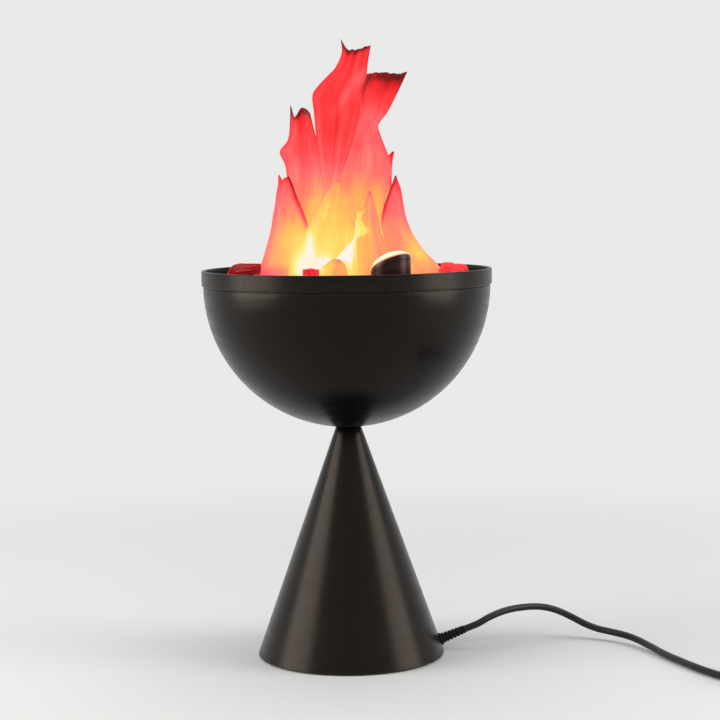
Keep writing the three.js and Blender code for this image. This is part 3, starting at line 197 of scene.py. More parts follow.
def catmull(points, per_segment):
    """A centripetal Catmull-Rom curve through points, with its Bezier handles."""
    p = np.asarray(points, float)
    q = np.vstack([2 * p[0] - p[1], p, 2 * p[-1] - p[-2]])
    line, handles = [], []
    for i in range(1, len(q) - 2):
        p0, p1, p2, p3 = q[i - 1:i + 3]
        d0, d1, d2 = (max(norm(b - a), 1e-8) ** 0.5
                      for a, b in ((p0, p1), (p1, p2), (p2, p3)))
        t1 = ((p1 - p0) / d0 - (p2 - p0) / (d0 + d1) + (p2 - p1) / d1) * d1
        t2 = ((p2 - p1) / d1 - (p3 - p1) / (d1 + d2) + (p3 - p2) / d2) * d1
        c2 = -3 * p1 + 3 * p2 - 2 * t1 - t2
        c3 = 2 * p1 - 2 * p2 + t1 + t2
        handles.append((p1 + t1 / 3, p2 - t2 / 3))
        for t in np.arange(per_segment) / per_segment:
            line.append(p1 + t1 * t + c2 * t * t + c3 * t ** 3)
    line.append(p[-1])
    return np.array(line), handles


# Material nodes
def put(node, inputs):
    """Feeds a node's inputs: a socket is linked, a number or colour is set."""
    for key, value in inputs.items():
        if isinstance(value, bpy.types.NodeSocket):
            node.id_data.links.new(value, node.inputs[key])
        else:
            node.inputs[key].default_value = value


def add(tree, kind, inputs, **settings):
    """A new shader node with its settings and inputs."""
    node = tree.nodes.new("ShaderNode" + kind)
    for key, value in settings.items():
        setattr(node, key, value)
    put(node, inputs)
    return node


def tree_of(name):
    """A new material, its node tree and its Principled shader."""
    material = bpy.data.materials.new(name)
    material.use_nodes = True
    tree = material.node_tree
    tree.nodes.clear()
    shader = add(tree, "BsdfPrincipled", {})
    add(tree, "OutputMaterial", {"Surface": shader.outputs[0]})
    return material, tree, shader


def coordinates(tree, stretch=(1, 1, 1)):
    """The object's own coordinates, stretched."""
    place = add(tree, "TexCoord", {}).outputs["Object"]
    return add(tree, "Mapping", {"Vector": place, "Scale": stretch}).outputs["Vector"]


def noise(vector, scale, detail=4.0, roughness=0.55):
    """Noise over coordinates; nearly all of it lies between NOISE_LOW and NOISE_HIGH."""
    inputs = {"Vector": vector, "Scale": scale, "Detail": detail, "Roughness": roughness}
    return add(vector.id_data, "TexNoise", inputs).outputs["Fac"]


def ramp(value, stops):
    """The colours of (position, colour) stops, picked by a value."""
    made = add(value.id_data, "ValToRGB", {"Fac": value})
    elements = made.color_ramp.elements
    for element, (position, colour) in zip((elements[0], elements[-1]), (stops[0], stops[-1])):
        element.position = position
        element.color = colour
    for position, colour in stops[1:-1]:
        elements.new(position).color = colour
    return made.outputs["Color"]


NOISE_LOW, NOISE_MIDDLE, NOISE_HIGH = 0.3, 0.5, 0.7


def spread(value, low, high, from_low=NOISE_LOW, from_high=NOISE_HIGH):
    """A value's middle range stretched to a new range."""
    inputs = {"Value": value, "From Min": from_low, "From Max": from_high,
              "To Min": low, "To Max": high}
    return add(value.id_data, "MapRange", inputs).outputs["Result"]


def bump(height, strength, distance, below=None):
    """A bumped normal, on top of another one if there is one below."""
    inputs = {"Height": height, "Strength": strength, "Distance": distance}
    if below:
        inputs["Normal"] = below
    return add(height.id_data, "Bump", inputs).outputs["Normal"]


def math_node(operation, a, b):
    """Two values put together by a sum, a product or the like."""
    return add(a.id_data, "Math", {0: a, 1: b}, operation=operation).outputs[0]


def shade(colour, factor):
    """A lighter or darker colour."""
    return tuple(min(1.0, c * factor) for c in colour[:3]) + (1.0,)


MOTTLE_SCALE, SCRATCH_SCALE, UNEVEN_SHARE = 45.0, 380.0, 9.0
EDGE_LOW, EDGE_HIGH = 0.53, 0.62
SCRATCH_LOW, SCRATCH_HIGH = 0.42, 0.62
COAT_ROUGH = 0.15
finish_of = {}


def worn_edges(tree, vector):
    """1 in the scratches along sharp edges, 0 elsewhere."""
    pointed = add(tree, "NewGeometry", {}).outputs["Pointiness"]
    scratches = noise(vector, SCRATCH_SCALE, 6.0, 0.7)
    return math_node("MULTIPLY", spread(pointed, 0.0, 1.0, EDGE_LOW, EDGE_HIGH),
                     spread(scratches, 0.0, 1.0, SCRATCH_LOW, SCRATCH_HIGH))


def surface(name, dresses, colour, rough, mottle, grain, metal=0.0, depth=0.02, strength=0.3,
            rough_change=0.06, stretch=(1, 1, 1), worn=None, specular=0.5, tint=None, coat=0.0):
    """A procedural surface: mottled colour, a fine grain, uneven gloss and worn edges.

    It dresses the CAD nodes whose names start with the words given, and its depth is in mm.
    """
    material, tree, shader = tree_of(name)
    vector = coordinates(tree)
    patches = noise(vector, MOTTLE_SCALE, 5.0)
    colours = ramp(patches, [(NOISE_LOW, shade(colour, 1 - mottle)), (NOISE_MIDDLE, colour),
                             (NOISE_HIGH, shade(colour, 1 + mottle))])
    if worn:
        mixed = {"Factor": worn_edges(tree, vector), "A": colours, "B": worn}
        colours = add(tree, "Mix", mixed, data_type="RGBA").outputs["Result"]
    fine = coordinates(tree, stretch)
    grains = noise(fine, grain, 3.0, 0.6)
    uneven = noise(fine, grain / UNEVEN_SHARE, 4.0, 0.6)
    put(shader, {"Base Color": colours, "Metallic": metal, "Specular IOR Level": specular,
                 "Roughness": spread(uneven, rough - rough_change, rough + rough_change),
                 "Normal": bump(grains, strength, depth * MM)})
    if tint:
        put(shader, {"Specular Tint": tint})
    if coat:
        put(shader, {"Coat Weight": coat, "Coat Roughness": COAT_ROUGH})
    finish_of.update(dict.fromkeys(dresses.split(), material))
    return material


# Surfaces: black finishes, then metals and the lamps' boards
# The second gloss tint is a painted reflection: it tints the pods' gloss with the silk's red light
WARM_GLOSS, PAINTED_RED_REFLECTION = (1.0, 0.84, 0.72, 1.0), (1.0, 0.7, 0.66, 1.0)
satin_black = surface(
    "satin_black_paint", "pedestal_cone bowl_shell", srgb(10, 9, 8), 0.27, mottle=0.12,
    grain=1500, depth=0.03, strength=0.2, rough_change=0.05, stretch=(0.12, 0.12, 1.6),
    worn=srgb(70, 64, 58), specular=0.18, tint=WARM_GLOSS)
rim_black = surface(
    "rim_black_plastic", "rim_ring", srgb(12, 11, 10), 0.31, mottle=0.14, grain=2600,
    strength=0.25, worn=srgb(60, 54, 50), specular=0.17, tint=WARM_GLOSS)
black_plastic = surface(
    "black_moulded_plastic",
    "deck_plate driver_case fan_frame fan_rotor silk_hoop switch plug_body", srgb(17, 17, 17),
    0.48, mottle=0.18, grain=3800, depth=0.04, strength=0.35, worn=srgb(48, 47, 46),
    specular=0.3)
# The pods are black plastic: their dark red colour and the reddish tint of their worn edges are
# painted red light from the glowing silk
red_lit_pod_plastic = surface(
    "lamp_housing_plastic", "lamp_housing", srgb(36, 8, 12), 0.30, mottle=0.2, grain=3000,
    strength=0.2, worn=srgb(60, 24, 24), specular=0.3, tint=PAINTED_RED_REFLECTION)
black_rubber = surface(
    "black_rubber", "cord_grommet foot", srgb(15, 15, 15), 0.78, mottle=0.25, grain=5200,
    depth=0.05, strength=0.5, specular=0.25)
cord_vinyl = surface(
    "cord_vinyl", "cord mains_lead_inside", srgb(13, 13, 14), 0.34, mottle=0.15, grain=3200,
    strength=0.2, specular=0.35)
surface("base_plate_paint", "base_plate", srgb(20, 20, 20), 0.55, mottle=0.15, grain=2400,
        strength=0.4, worn=srgb(80, 78, 76), specular=0.3)
surface("rocker_plastic", "switch_rocker", srgb(30, 30, 32), 0.24, mottle=0.1, grain=3000,
        strength=0.15, worn=srgb(70, 69, 68), specular=0.45)
surface("zinc_steel", "base_screw deck_screw fan_screw fan_shaft stem", srgb(172, 172, 170),
        0.34, metal=1.0, mottle=0.12, grain=4200, worn=srgb(205, 205, 200), stretch=(1, 1, 0.3))
surface("brushed_aluminium", "lamp_heat_sink", srgb(186, 188, 190), 0.38, metal=1.0,
        mottle=0.08, grain=5200, strength=0.35, stretch=(0.1, 1, 1))
surface("sintered_bronze", "fan_bearing", srgb(150, 108, 62), 0.45, metal=1.0, mottle=0.2,
        grain=6000, strength=0.5)
surface("enamelled_copper", "fan_stator", srgb(168, 90, 48), 0.35, metal=0.9, mottle=0.2,
        grain=3000, strength=0.6, stretch=(1, 1, 8), coat=0.4)
surface("ferrite", "fan_magnet", srgb(38, 38, 40), 0.6, metal=0.2, mottle=0.25, grain=5200,
        strength=0.5)
surface("white_solder_mask", "lamp_board", srgb(222, 222, 214), 0.4, mottle=0.05, grain=2600,
        strength=0.2)
surface("nickel_brass_pin", "plug_pin", srgb(205, 190, 150), 0.24, metal=1.0, mottle=0.1,
        grain=4200, strength=0.25, stretch=(0.2, 1, 1))

# Glowing materials: colours by the value of a named attribute at each point. The lens is a lamp;
# the silk is no lamp, and its glow is painted light, the lamps' light shining through the cloth
LENS_STRENGTH, SILK_STRENGTH = 0.88, 0.9
FROST_SCALE, FROST_DEPTH, FROST_CHANGE = 900.0, 0.05, 0.06
LENS_HEAT = [(0.0, srgb(222, 84, 48)), (0.3, srgb(255, 190, 120)), (0.6, srgb(255, 236, 200)),
             (1.0, srgb(255, 252, 244))]
# The silk's painted light, from dark red where shade is painted to near white where the lamps'
# light is painted brightest
SILK_PAINTED_LIGHT = [
    (0.00, srgb(40, 3, 6)), (0.08, srgb(150, 12, 18)), (0.17, srgb(226, 32, 37)),
    (0.27, srgb(254, 56, 58)), (0.38, srgb(254, 80, 82)), (0.48, srgb(254, 108, 112)),
    (0.58, srgb(253, 142, 108)), (0.68, srgb(253, 178, 98)), (0.78, srgb(254, 208, 96)),
    (0.88, srgb(253, 232, 108)), (0.95, srgb(255, 248, 150)), (1.00, srgb(255, 254, 238)),
]
STREAK_DEPTH, THREAD_DEPTH = 0.4, 0.03


def lens_material():
    """A frosted lens that glows warm white, and orange at its flange, where its glow is low."""
    material, tree, shader = tree_of("lamp_lens_glow")
    frost = noise(coordinates(tree), FROST_SCALE)
    glow = add(tree, "Attribute", {}, attribute_name="lens_glow").outputs["Fac"]
    glow = math_node("ADD", glow, spread(frost, -FROST_CHANGE, FROST_CHANGE))
    frosted = [(NOISE_LOW, srgb(150, 128, 108)), (NOISE_HIGH, srgb(170, 150, 128))]
    put(shader, {"Base Color": ramp(frost, frosted), "Emission Color": ramp(glow, LENS_HEAT),
                 "Emission Strength": LENS_STRENGTH, "Roughness": spread(frost, 0.18, 0.34),
                 "Normal": bump(frost, 0.2, FROST_DEPTH * MM)})
    return material


def silk_material():
    """Red silk lit from below, its light painted: a painted light value per point, varied by
    streaks and clouds, becomes the glow's colour.
    """
    material, tree, shader = tree_of("lit_red_silk")
    heat = add(tree, "Attribute", {}, attribute_name="silk_glow").outputs["Fac"]
    streaks = noise(coordinates(tree, (1.0, 1.0, 0.18)), 210.0, 5.0, 0.6)
    cloud = noise(coordinates(tree), 60.0, 3.0)
    threads = noise(coordinates(tree), 2600.0, 2.0, 0.5)
    for pattern, change in ((streaks, 0.03), (cloud, 0.025), (threads, 0.015)):
        heat = math_node("ADD", heat, spread(pattern, -change, change))
    dyed = [(NOISE_LOW, srgb(104, 6, 10)), (NOISE_HIGH, srgb(142, 12, 17))]
    weave = bump(threads, 0.25, THREAD_DEPTH * MM)
    put(shader, {"Base Color": ramp(streaks, dyed), "Emission Color": ramp(heat, SILK_PAINTED_LIGHT),
                 "Emission Strength": SILK_STRENGTH, "Roughness": spread(streaks, 0.42, 0.6),
                 "Sheen Weight": 0.15, "Sheen Tint": srgb(255, 120, 110),
                 "Specular IOR Level": 0.2, "Normal": bump(streaks, 0.3, STREAK_DEPTH * MM, weave)})
    return material


lens_glow = finish_of["lamp_lens"] = lens_material()
silk = finish_of["silk"] = silk_material()

# The CAD nodes' finishes: the longest start of a name that fits counts
for name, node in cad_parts.items():
    start = max((start for start in finish_of if name.startswith(start)), key=len)
    node.data.materials.clear()
    node.data.materials.append(finish_of[start])

# The cord: the CAD's route repeated, from the strain relief through the coil to the plug
CORD = 5.0
GROMMET_TURN = radians(10.0)
GROMMET_Z = 6.5
RELIEF_LENGTH = 20.3
CONE_TOP_R = 8.9
cone_low, cone_high = box("pedestal_cone")
CONE_R, CONE_EDGE, CONE_TOP = cone_high[0], cone_low[2], cone_high[2]
CONE_SLOPE = atan2(CONE_R - CONE_TOP_R, CONE_TOP - CONE_EDGE)


def cone_at(z):
    """The cone's outer radius at a height."""
    return CONE_R - (z - CONE_EDGE) * tan(CONE_SLOPE)


out_x, out_y = cos(GROMMET_TURN), sin(GROMMET_TURN)
WAY_OUT = np.array([cos(CONE_SLOPE) * out_x, cos(CONE_SLOPE) * out_y,
                    sin(CONE_SLOPE)])
EXIT_MOUTH = np.array([cone_at(GROMMET_Z) * out_x, cone_at(GROMMET_Z) * out_y, GROMMET_Z])
cord_exit = EXIT_MOUTH + WAY_OUT * RELIEF_LENGTH
LEAD = [
    (101.5, 20.2, 20.8), (113.7, 26.2, 24), (127.5, 32.7, 24.8), (139.7, 37.4, 23.9),
    (147.3, 39.3, 22.1), (154.8, 40.3, 19.3), (163.6, 39.9, 15), (172.2, 37.8, 10.7),
    (180.6, 34.3, 7.9), (190.2, 28.6, 6.6), (199.3, 20.5, 5.9), (206.6, 10.7, 5),
    (214.4, -5, 3.5), (222.2, -27, 2.7), (229.1, -44.8, 2.7), (235.9, -61.1, 2.7),
    (241.9, -73.6, 2.7), (249.1, -85.9, 2.7), (254.9, -95.5, 2.7), (260.1, -104, 2.7)]
COIL_INNER, COIL_PITCH = 22.0, 6.3
TURNS_BELOW, TURNS_CLIMB, TURNS_ABOVE = 2.5, 0.5, 2.413
POINTS_PER_TURN = 24
SEAT = 0.3
SWITCH_GAP, SWITCH_LENGTH, TAIL_LENGTH, TAIL_DROP = 28.3, 62.0, 34.0, 1.4
LINK_STRAIGHT, INTO_SWITCH, INTO_PLUG = 14, 2, 8
CURVE_STEPS, CURVE_SIDES = 8, 5


def cord_coil(start, heading):
    """The coil's points: inward on the floor, a climb, and outward on top."""
    left = np.array([-heading[1], heading[0], 0.0])
    centre = start + heading * CORD + left * (COIL_INNER + COIL_PITCH * TURNS_BELOW)
    first = atan2(-heading[0], heading[1])
    turns = TURNS_BELOW + TURNS_CLIMB + TURNS_ABOVE
    steps = round(turns * POINTS_PER_TURN)
    middle, half_climb = TURNS_BELOW + TURNS_CLIMB / 2, TURNS_CLIMB / 2
    points = []
    for k in range(steps + 1):
        turn = turns * k / steps
        radius = COIL_INNER + COIL_PITCH * max(0.0, abs(turn - middle) - half_climb)
        climb = float(smooth(TURNS_BELOW, TURNS_BELOW + TURNS_CLIMB, turn)) * COIL_PITCH
        a = first + 2 * pi * turn
        points.append(centre + np.array([radius * cos(a), radius * sin(a), climb]))
    last = first + 2 * pi * turns
    return points, centre, np.array([-sin(last), cos(last), 0.0])


def cord_curve(points):
    """The cord as one Bezier curve, and its length in metres."""
    line, handles = catmull(points, CURVE_STEPS)
    curve = bpy.data.curves.new("mains_cord", "CURVE")
    curve.dimensions = "3D"
    curve.bevel_depth = CORD / 2 * MM
    curve.bevel_resolution = CURVE_SIDES
    curve.resolution_u = CURVE_STEPS
    curve.use_fill_caps = True
    spline = curve.splines.new("BEZIER")
    spline.bezier_points.add(len(points) - 1)
    for k, (knot, point) in enumerate(zip(spline.bezier_points, points)):
        knot.handle_left_type = knot.handle_right_type = "FREE"
        ahead = handles[k][0] if k < len(handles) else 2 * point - handles[-1][1]
        behind = handles[k - 1][1] if k else 2 * point - handles[0][0]
        knot.co = Vector(point) * MM
        knot.handle_right = Vector(ahead) * MM
        knot.handle_left = Vector(behind) * MM
    curve.materials.append(cord_vinyl)
    length = float(np.sum(norm(np.diff(line, axis=0), axis=1))) * MM
    return new_object("mains_cord", curve), length


lead = [cord_exit, cord_exit + WAY_OUT * 2 * CORD] + [np.array(p, float) for p in LEAD]
lead_way = unit((lead[-1] - lead[-2]) * (1, 1, 0))
coil, coil_centre, cord_way = cord_coil(lead[-1] + lead_way * SEAT, lead_way)
link_start = coil[-1] + cord_way * (CORD + SEAT)
switch_start = link_start + cord_way * SWITCH_GAP
switch_end = switch_start + cord_way * SWITCH_LENGTH
tail_start = switch_end + cord_way * SEAT
tail_end = tail_start + cord_way * TAIL_LENGTH - np.array([0, 0, TAIL_DROP])
plug_start = tail_end + cord_way * SEAT
mains_cord, cord_length = cord_curve(
    lead + coil
    + [link_start, link_start + cord_way * LINK_STRAIGHT, switch_start + cord_way * INTO_SWITCH,
       (switch_start + switch_end) / 2, switch_end - cord_way * INTO_SWITCH,
       tail_start + cord_way * CORD, tail_end - cord_way * CORD, tail_end,
       plug_start + cord_way * INTO_PLUG])
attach(mains_cord, "base")
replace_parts(mains_cord, "cord_lead", "cord_coil", "cord_link", "cord_tail")


def make_strain_relief():
    """A flange on each side of the cone's wall, then ribs that taper along the cord."""
    sides, ribs, first_rib, rib_pitch, rib_r, rib_taper = 40, 6, 2.6, 2.75, 3.75, 0.13
    groove, rise, rib_wide, fall = 0.55, 0.45, 1.25, 1.7
    inner_flange = [(0.0, -3.4), (4.2, -3.4), (4.6, -3.0), (4.6, -1.7), (3.7, -1.6)]
    outer_flange = [(3.7, 0.3), (4.3, 0.3), (4.6, 0.6), (4.6, 1.5), (4.3, 1.9)]
    tip = [(2.95, 19.0), (2.9, 19.8), (2.6, 20.0), (0.0, 20.0)]
    taper = []
    for k in range(ribs):
        z = first_rib + k * rib_pitch
        r = rib_r - rib_taper * k
        taper += [(r - groove, z - rise), (r, z), (r, z + rib_wide), (r - groove, z + fall)]
    verts, faces = lathe(inner_flange + outer_flange + taper + tip, sides, closed=False)
    side = unit(np.cross([0, 0, 1], WAY_OUT))
    up = np.cross(WAY_OUT, side)
    verts = [EXIT_MOUTH + WAY_OUT * z + side * x + up * y for x, y, z in verts]
    stand_in("strain_relief", verts, faces, black_rubber, "cord_grommet", "black_rubber", sharp=35)


def make_cord_tie():
    """A flat strap round the coil's turns, on the side towards the object."""
    half_across, half_high, half_strap, thick = 11.2, 6.1, 2.6, 0.7
    steps, across_power, high_power, over_floor, turns_out = 32, 0.45, 0.6, 0.1, 1.1
    middle = coil_centre - np.array([COIL_INNER + COIL_PITCH * turns_out, 0.0, 0.0])
    middle[2] += COIL_PITCH / 2
    rows = []
    for across, out in ((-half_strap, 0.0), (-half_strap, thick), (half_strap, thick),
                        (half_strap, 0.0)):
        row = []
        for k in range(steps):
            a = 2 * pi * k / steps
            x = half_across * copysign(abs(cos(a)) ** across_power, cos(a))
            z = half_high * copysign(abs(sin(a)) ** high_power, sin(a))
            n = unit([x / half_across, z / half_high])
            row.append(middle + np.array([x + n[0] * out, across, z + n[1] * out]))
        rows.append(row)
    verts = np.concatenate(rows)
    verts[:, 2] += max(0.0, over_floor - verts[:, 2].min())
    faces = grid_faces(len(rows), steps, rows_close=True)
    return new_mesh("cord_tie", verts, faces, black_plastic, "base", sharp=40)


make_strain_relief()
cord_tie = make_cord_tie()

# Shells: the cone, the bowl and the rim, turned about the upright axis
STEM_HOLE = 5.3
SHEET = 1.0
TURNED = 160
BOWL_R, BOWL_FLAT_R = 101.4, 9.0
bowl_low, bowl_high = box("bowl_shell")
BOWL_BOTTOM, BOWL_TOP = bowl_low[2], bowl_high[2]
BOWL_Z = BOWL_BOTTOM + sqrt(BOWL_R ** 2 - BOWL_FLAT_R ** 2)
RIM_R, _, RIM_TOP = box("rim_ring")[1]
LUG_TURNS, BOSS_TURNS = (90, 210, 330), (-30, 90, 210)


def make_pedestal():
    """The spun cone with rounded edges, and its three lugs for the base plate."""
    wall = SHEET / cos(CONE_SLOPE)
    side_low, side_high, side_rows = 4.0, CONE_TOP - 4.7, 27
    top = CONE_TOP - SHEET
    top_edge = [(STEM_HOLE, CONE_TOP), (CONE_TOP_R - 0.9, CONE_TOP),
                (CONE_TOP_R - 0.3, CONE_TOP - 0.1), (cone_at(CONE_TOP - 0.8), CONE_TOP - 0.8)]
    outside = [(cone_at(z), z) for z in np.linspace(side_high, side_low, side_rows)]
    foot_edge = [(cone_at(2.0), 2.0), (cone_at(1.3) - 0.05, 1.3), (CONE_R - 0.3, CONE_EDGE),
                 (CONE_R - 0.9, CONE_EDGE + 0.02)]
    inside = [(cone_at(z) - wall, z) for z in (1.4, 40.0, 80.0, 120.0, top)]
    solids = [lathe(top_edge + outside + foot_edge + inside + [(STEM_HOLE, top)], TURNED)]
    lug_low, lug_high, lug_wide, lug_deep = 4.8, 12.8, 10.0, 16.0
    inner = cone_at(lug_high) - wall - lug_deep
    corners = []
    for z in (lug_low, lug_high):
        outer = cone_at(z) - wall / 2
        corners += [(inner, -lug_wide / 2, z), (outer, -lug_wide / 2, z),
                    (outer, lug_wide / 2, z), (inner, lug_wide / 2, z)]
    for turn in LUG_TURNS:
        lug = placed(corners, (0, 0, 0), turn)
        solids.append((lug, grid_faces(2, 4) + [(3, 2, 1, 0), (4, 5, 6, 7)]))
    stand_in("pedestal", *join_pieces(*solids), satin_black, "pedestal_cone", "satin_black",
             sharp=40)


def sphere_points(radius, low, high, steps):
    """Points up a sphere round the bowl's middle, between two heights."""
    start, end = (degrees(asin((z - BOWL_Z) / radius)) for z in (low, high))
    return arc((0.0, BOWL_Z), radius, start, end, steps)


def make_bowl():
    """Part of a sphere with a small flat at the stem."""
    outer_steps, inner_steps = 44, 30
    inner_z = BOWL_BOTTOM + SHEET
    outside = sphere_points(BOWL_R, BOWL_BOTTOM, BOWL_TOP - 0.4, outer_steps)
    lip = [(BOWL_R - 0.25, BOWL_TOP), (BOWL_R - 0.8, BOWL_TOP)]
    inside = sphere_points(BOWL_R - SHEET, inner_z, BOWL_TOP - 0.3, inner_steps)
    profile = ([(STEM_HOLE, BOWL_BOTTOM)] + outside + lip + inside[::-1]
               + [(STEM_HOLE, inner_z)])
    stand_in("bowl", *lathe(profile, TURNED), satin_black, "bowl_shell", "satin_black", sharp=40)


def make_rim():
    """A moulded band over the groove, with a skirt inside the bowl, a ledge and screw bosses."""
    wall, band, round_off, round_steps, groove, edge = 2.5, 11.0, 0.7, 5, 1.3, 0.4
    skirt_deep, skirt_wall, skirt_gap, ledge, ledge_rise = 20.0, 2.0, 0.9, 7.0, 3.6
    inner = RIM_R - wall
    band_z = RIM_TOP - band
    skirt_z = BOWL_TOP - skirt_deep
    ledge_z = skirt_z + skirt_wall
    mid_z = (BOWL_TOP + skirt_z) / 2

    def skirt_at(z):
        """The skirt's outer radius at a height."""
        return sqrt((BOWL_R - SHEET) ** 2 - (BOWL_Z - z) ** 2) - skirt_gap

    skirt_top, mid_r, skirt_bottom = (skirt_at(z) for z in (BOWL_TOP, mid_z, skirt_z))
    skirt_inner = skirt_bottom - skirt_wall
    profile = (
        [(RIM_R - groove, BOWL_TOP + SEAT), (RIM_R - groove, band_z), (RIM_R - edge, band_z),
         (RIM_R, band_z + edge)]
        + arc((RIM_R - round_off, RIM_TOP - round_off), round_off, 0, 90, round_steps)
        + arc((inner + round_off, RIM_TOP - round_off), round_off, 90, 180, round_steps)
        + [(inner, band_z + 1), (skirt_top - skirt_wall, band_z - 1),
           (mid_r - skirt_wall, mid_z), (skirt_inner, ledge_z + ledge_rise),
           (skirt_inner, ledge_z), (skirt_inner - ledge, ledge_z), (skirt_inner - ledge, skirt_z),
           (skirt_bottom, skirt_z), (mid_r, mid_z), (skirt_top, BOWL_TOP + SEAT)]
    )
    solids = [lathe(profile, TURNED)]
    bore, boss_r, boss_low, boss_high, boss_in = 1.3, 3.2, ledge_z - 8.0, ledge_z - 1.0, 3.5
    boss = [(bore, boss_low), (boss_r - 0.3, boss_low), (boss_r, boss_low + 0.3),
            (boss_r, boss_high), (bore, boss_high)]
    verts, faces = lathe(boss, 24)
    verts = [(x + skirt_inner - boss_in, y, z) for x, y, z in verts]
    solids += [(placed(verts, (0, 0, 0), turn), faces) for turn in BOSS_TURNS]
    stand_in("rim", *join_pieces(*solids), rim_black, "rim_ring", "rim_plastic", sharp=40)


make_pedestal()
make_bowl()
make_rim()

# Lamp pods: a tube cut at a slant, and a domed lens on its mouth
POD_R, POD_WALL, POD_FLOOR, POD_LEDGE, LENS_DEPTH = 13.5, 1.5, 2.0, 1.2, 2.5
POD_SIDES = 72
POD_TILT = radians(26.6)
POD_TURNS = {"front": -46.0, "back": 134.0}
FLANGE_LOW, FLANGE_HIGH, DOME_RISE = 0.25, 1.3, 6.4
FLANGE_GLOW, DOME_GLOW, MIDDLE_GLOW, GLOW_IN, FLANGE_LIP = 0.15, 0.62, 0.4, 6.0, 0.3


def make_pod(name, turn):
    """The pod's housing: a groove line round it, rounded lips, a bore and a lens ledge."""
    low, high = box(f"lamp_housing_{name}")
    origin = ((low[0] + high[0]) / 2, (low[1] + high[1]) / 2, low[2])
    height = high[2] - low[2]
    angles = np.linspace(0, 2 * pi, POD_SIDES, endpoint=False)
    bore = POD_R - POD_WALL
    core = bore - POD_LEDGE

    def ring(radius, below_mouth=0.0, z=None):
        """A ring at a depth below the slanted mouth, or a level one at a height."""
        points = []
        for a in angles:
            x, y = radius * cos(a), radius * sin(a)
            mouth = height - (POD_R - x) * tan(POD_TILT) - below_mouth
            points.append((x, y, mouth if z is None else z))
        return points

    foot = [ring(POD_R - 0.6, z=0.0), ring(POD_R, z=0.6)]
    groove = [ring(POD_R, 4.0), ring(POD_R - 0.3, 3.8), ring(POD_R - 0.3, 3.4), ring(POD_R, 3.2)]
    lip = [ring(POD_R, 0.5), ring(POD_R - 0.15, 0.15), ring(POD_R - 0.5), ring(bore + 0.2)]
    hollow = [ring(bore, 0.2), ring(bore, LENS_DEPTH), ring(core, LENS_DEPTH),
              ring(core, z=POD_FLOOR)]
    verts, faces = rings_mesh(foot + groove + lip + hollow)
    stand_in(f"pod_{name}", placed(verts, origin, turn), faces, red_lit_pod_plastic,
             f"lamp_housing_{name}", "black_plastic", sharp=35)
    make_lens(name, turn, origin, height, angles, bore, core)


def make_lens(name, turn, origin, height, angles, bore, core):
    """The lens: it sits in the bore, its flange on the mouth's edge and its dome over it."""
    along = np.array([cos(POD_TILT), 0, sin(POD_TILT)])
    normal = np.array([-sin(POD_TILT), 0, cos(POD_TILT)])
    middle = np.array([0, 0, height - POD_R * tan(POD_TILT)])
    profile = [(bore - 0.5, 0.5 - LENS_DEPTH), (bore - 0.3, 0.7 - LENS_DEPTH),
               (bore - 0.3, FLANGE_LOW), (POD_R - 0.2, FLANGE_LOW), (POD_R, FLANGE_LOW + 0.2),
               (POD_R, FLANGE_HIGH - 0.3), (POD_R - 0.3, FLANGE_HIGH), (bore + 0.2, FLANGE_HIGH)]
    for angle in range(6, 88, 9):
        a = radians(angle)
        rise = (DOME_RISE - FLANGE_HIGH) * sin(a)
        profile.append((bore * cos(a), FLANGE_HIGH + rise))
    rings = [[middle + along * r / cos(POD_TILT) * cos(a)
              + np.array([0, r * sin(a), 0]) + normal * h for a in angles]
             for r, h in profile]
    verts, faces = rings_mesh(rings)
    glow_of = [FLANGE_GLOW if h < FLANGE_LOW + FLANGE_LIP
               else DOME_GLOW + MIDDLE_GLOW * smooth(bore, core - GLOW_IN, r) for r, h in profile]
    stand_in(f"pod_lens_{name}", placed(verts, origin, turn), faces, lens_glow,
             f"lamp_lens_{name}", "lamp_lens", sharp=50,
             attributes={"lens_glow": np.repeat(glow_of, len(angles))})


for name, turn in POD_TURNS.items():
    make_pod(name, turn)

# Silk tongues: the CAD's rows, some fitted closer, with folds, torn tops and the lamps' glow
# painted on as emission
hoop_low, hoop_high = box("silk_hoop")
HOOP_LENGTH, HOOP_WIDTH, HOOP_TOP = hoop_high
HOOP_Z = hoop_low[2]
HOOP_SIDE_TURN = 10.0
DECK_TOP = HOOP_Z - SEAT
FLAME = 190.0
HOOP_WALL, CAD_SILK, SILK_THICK = 2.0, 0.6, 0.25
PERCENT = 0.01
PER_ROW, WIDE_COLUMNS, NARROW_COLUMNS, WIDE_SECTOR = 8, 56, 36, 50
WAVE, PLEAT, FLUTTER, TORN_DEEP = 1.7, 0.55, 0.6, 1.3

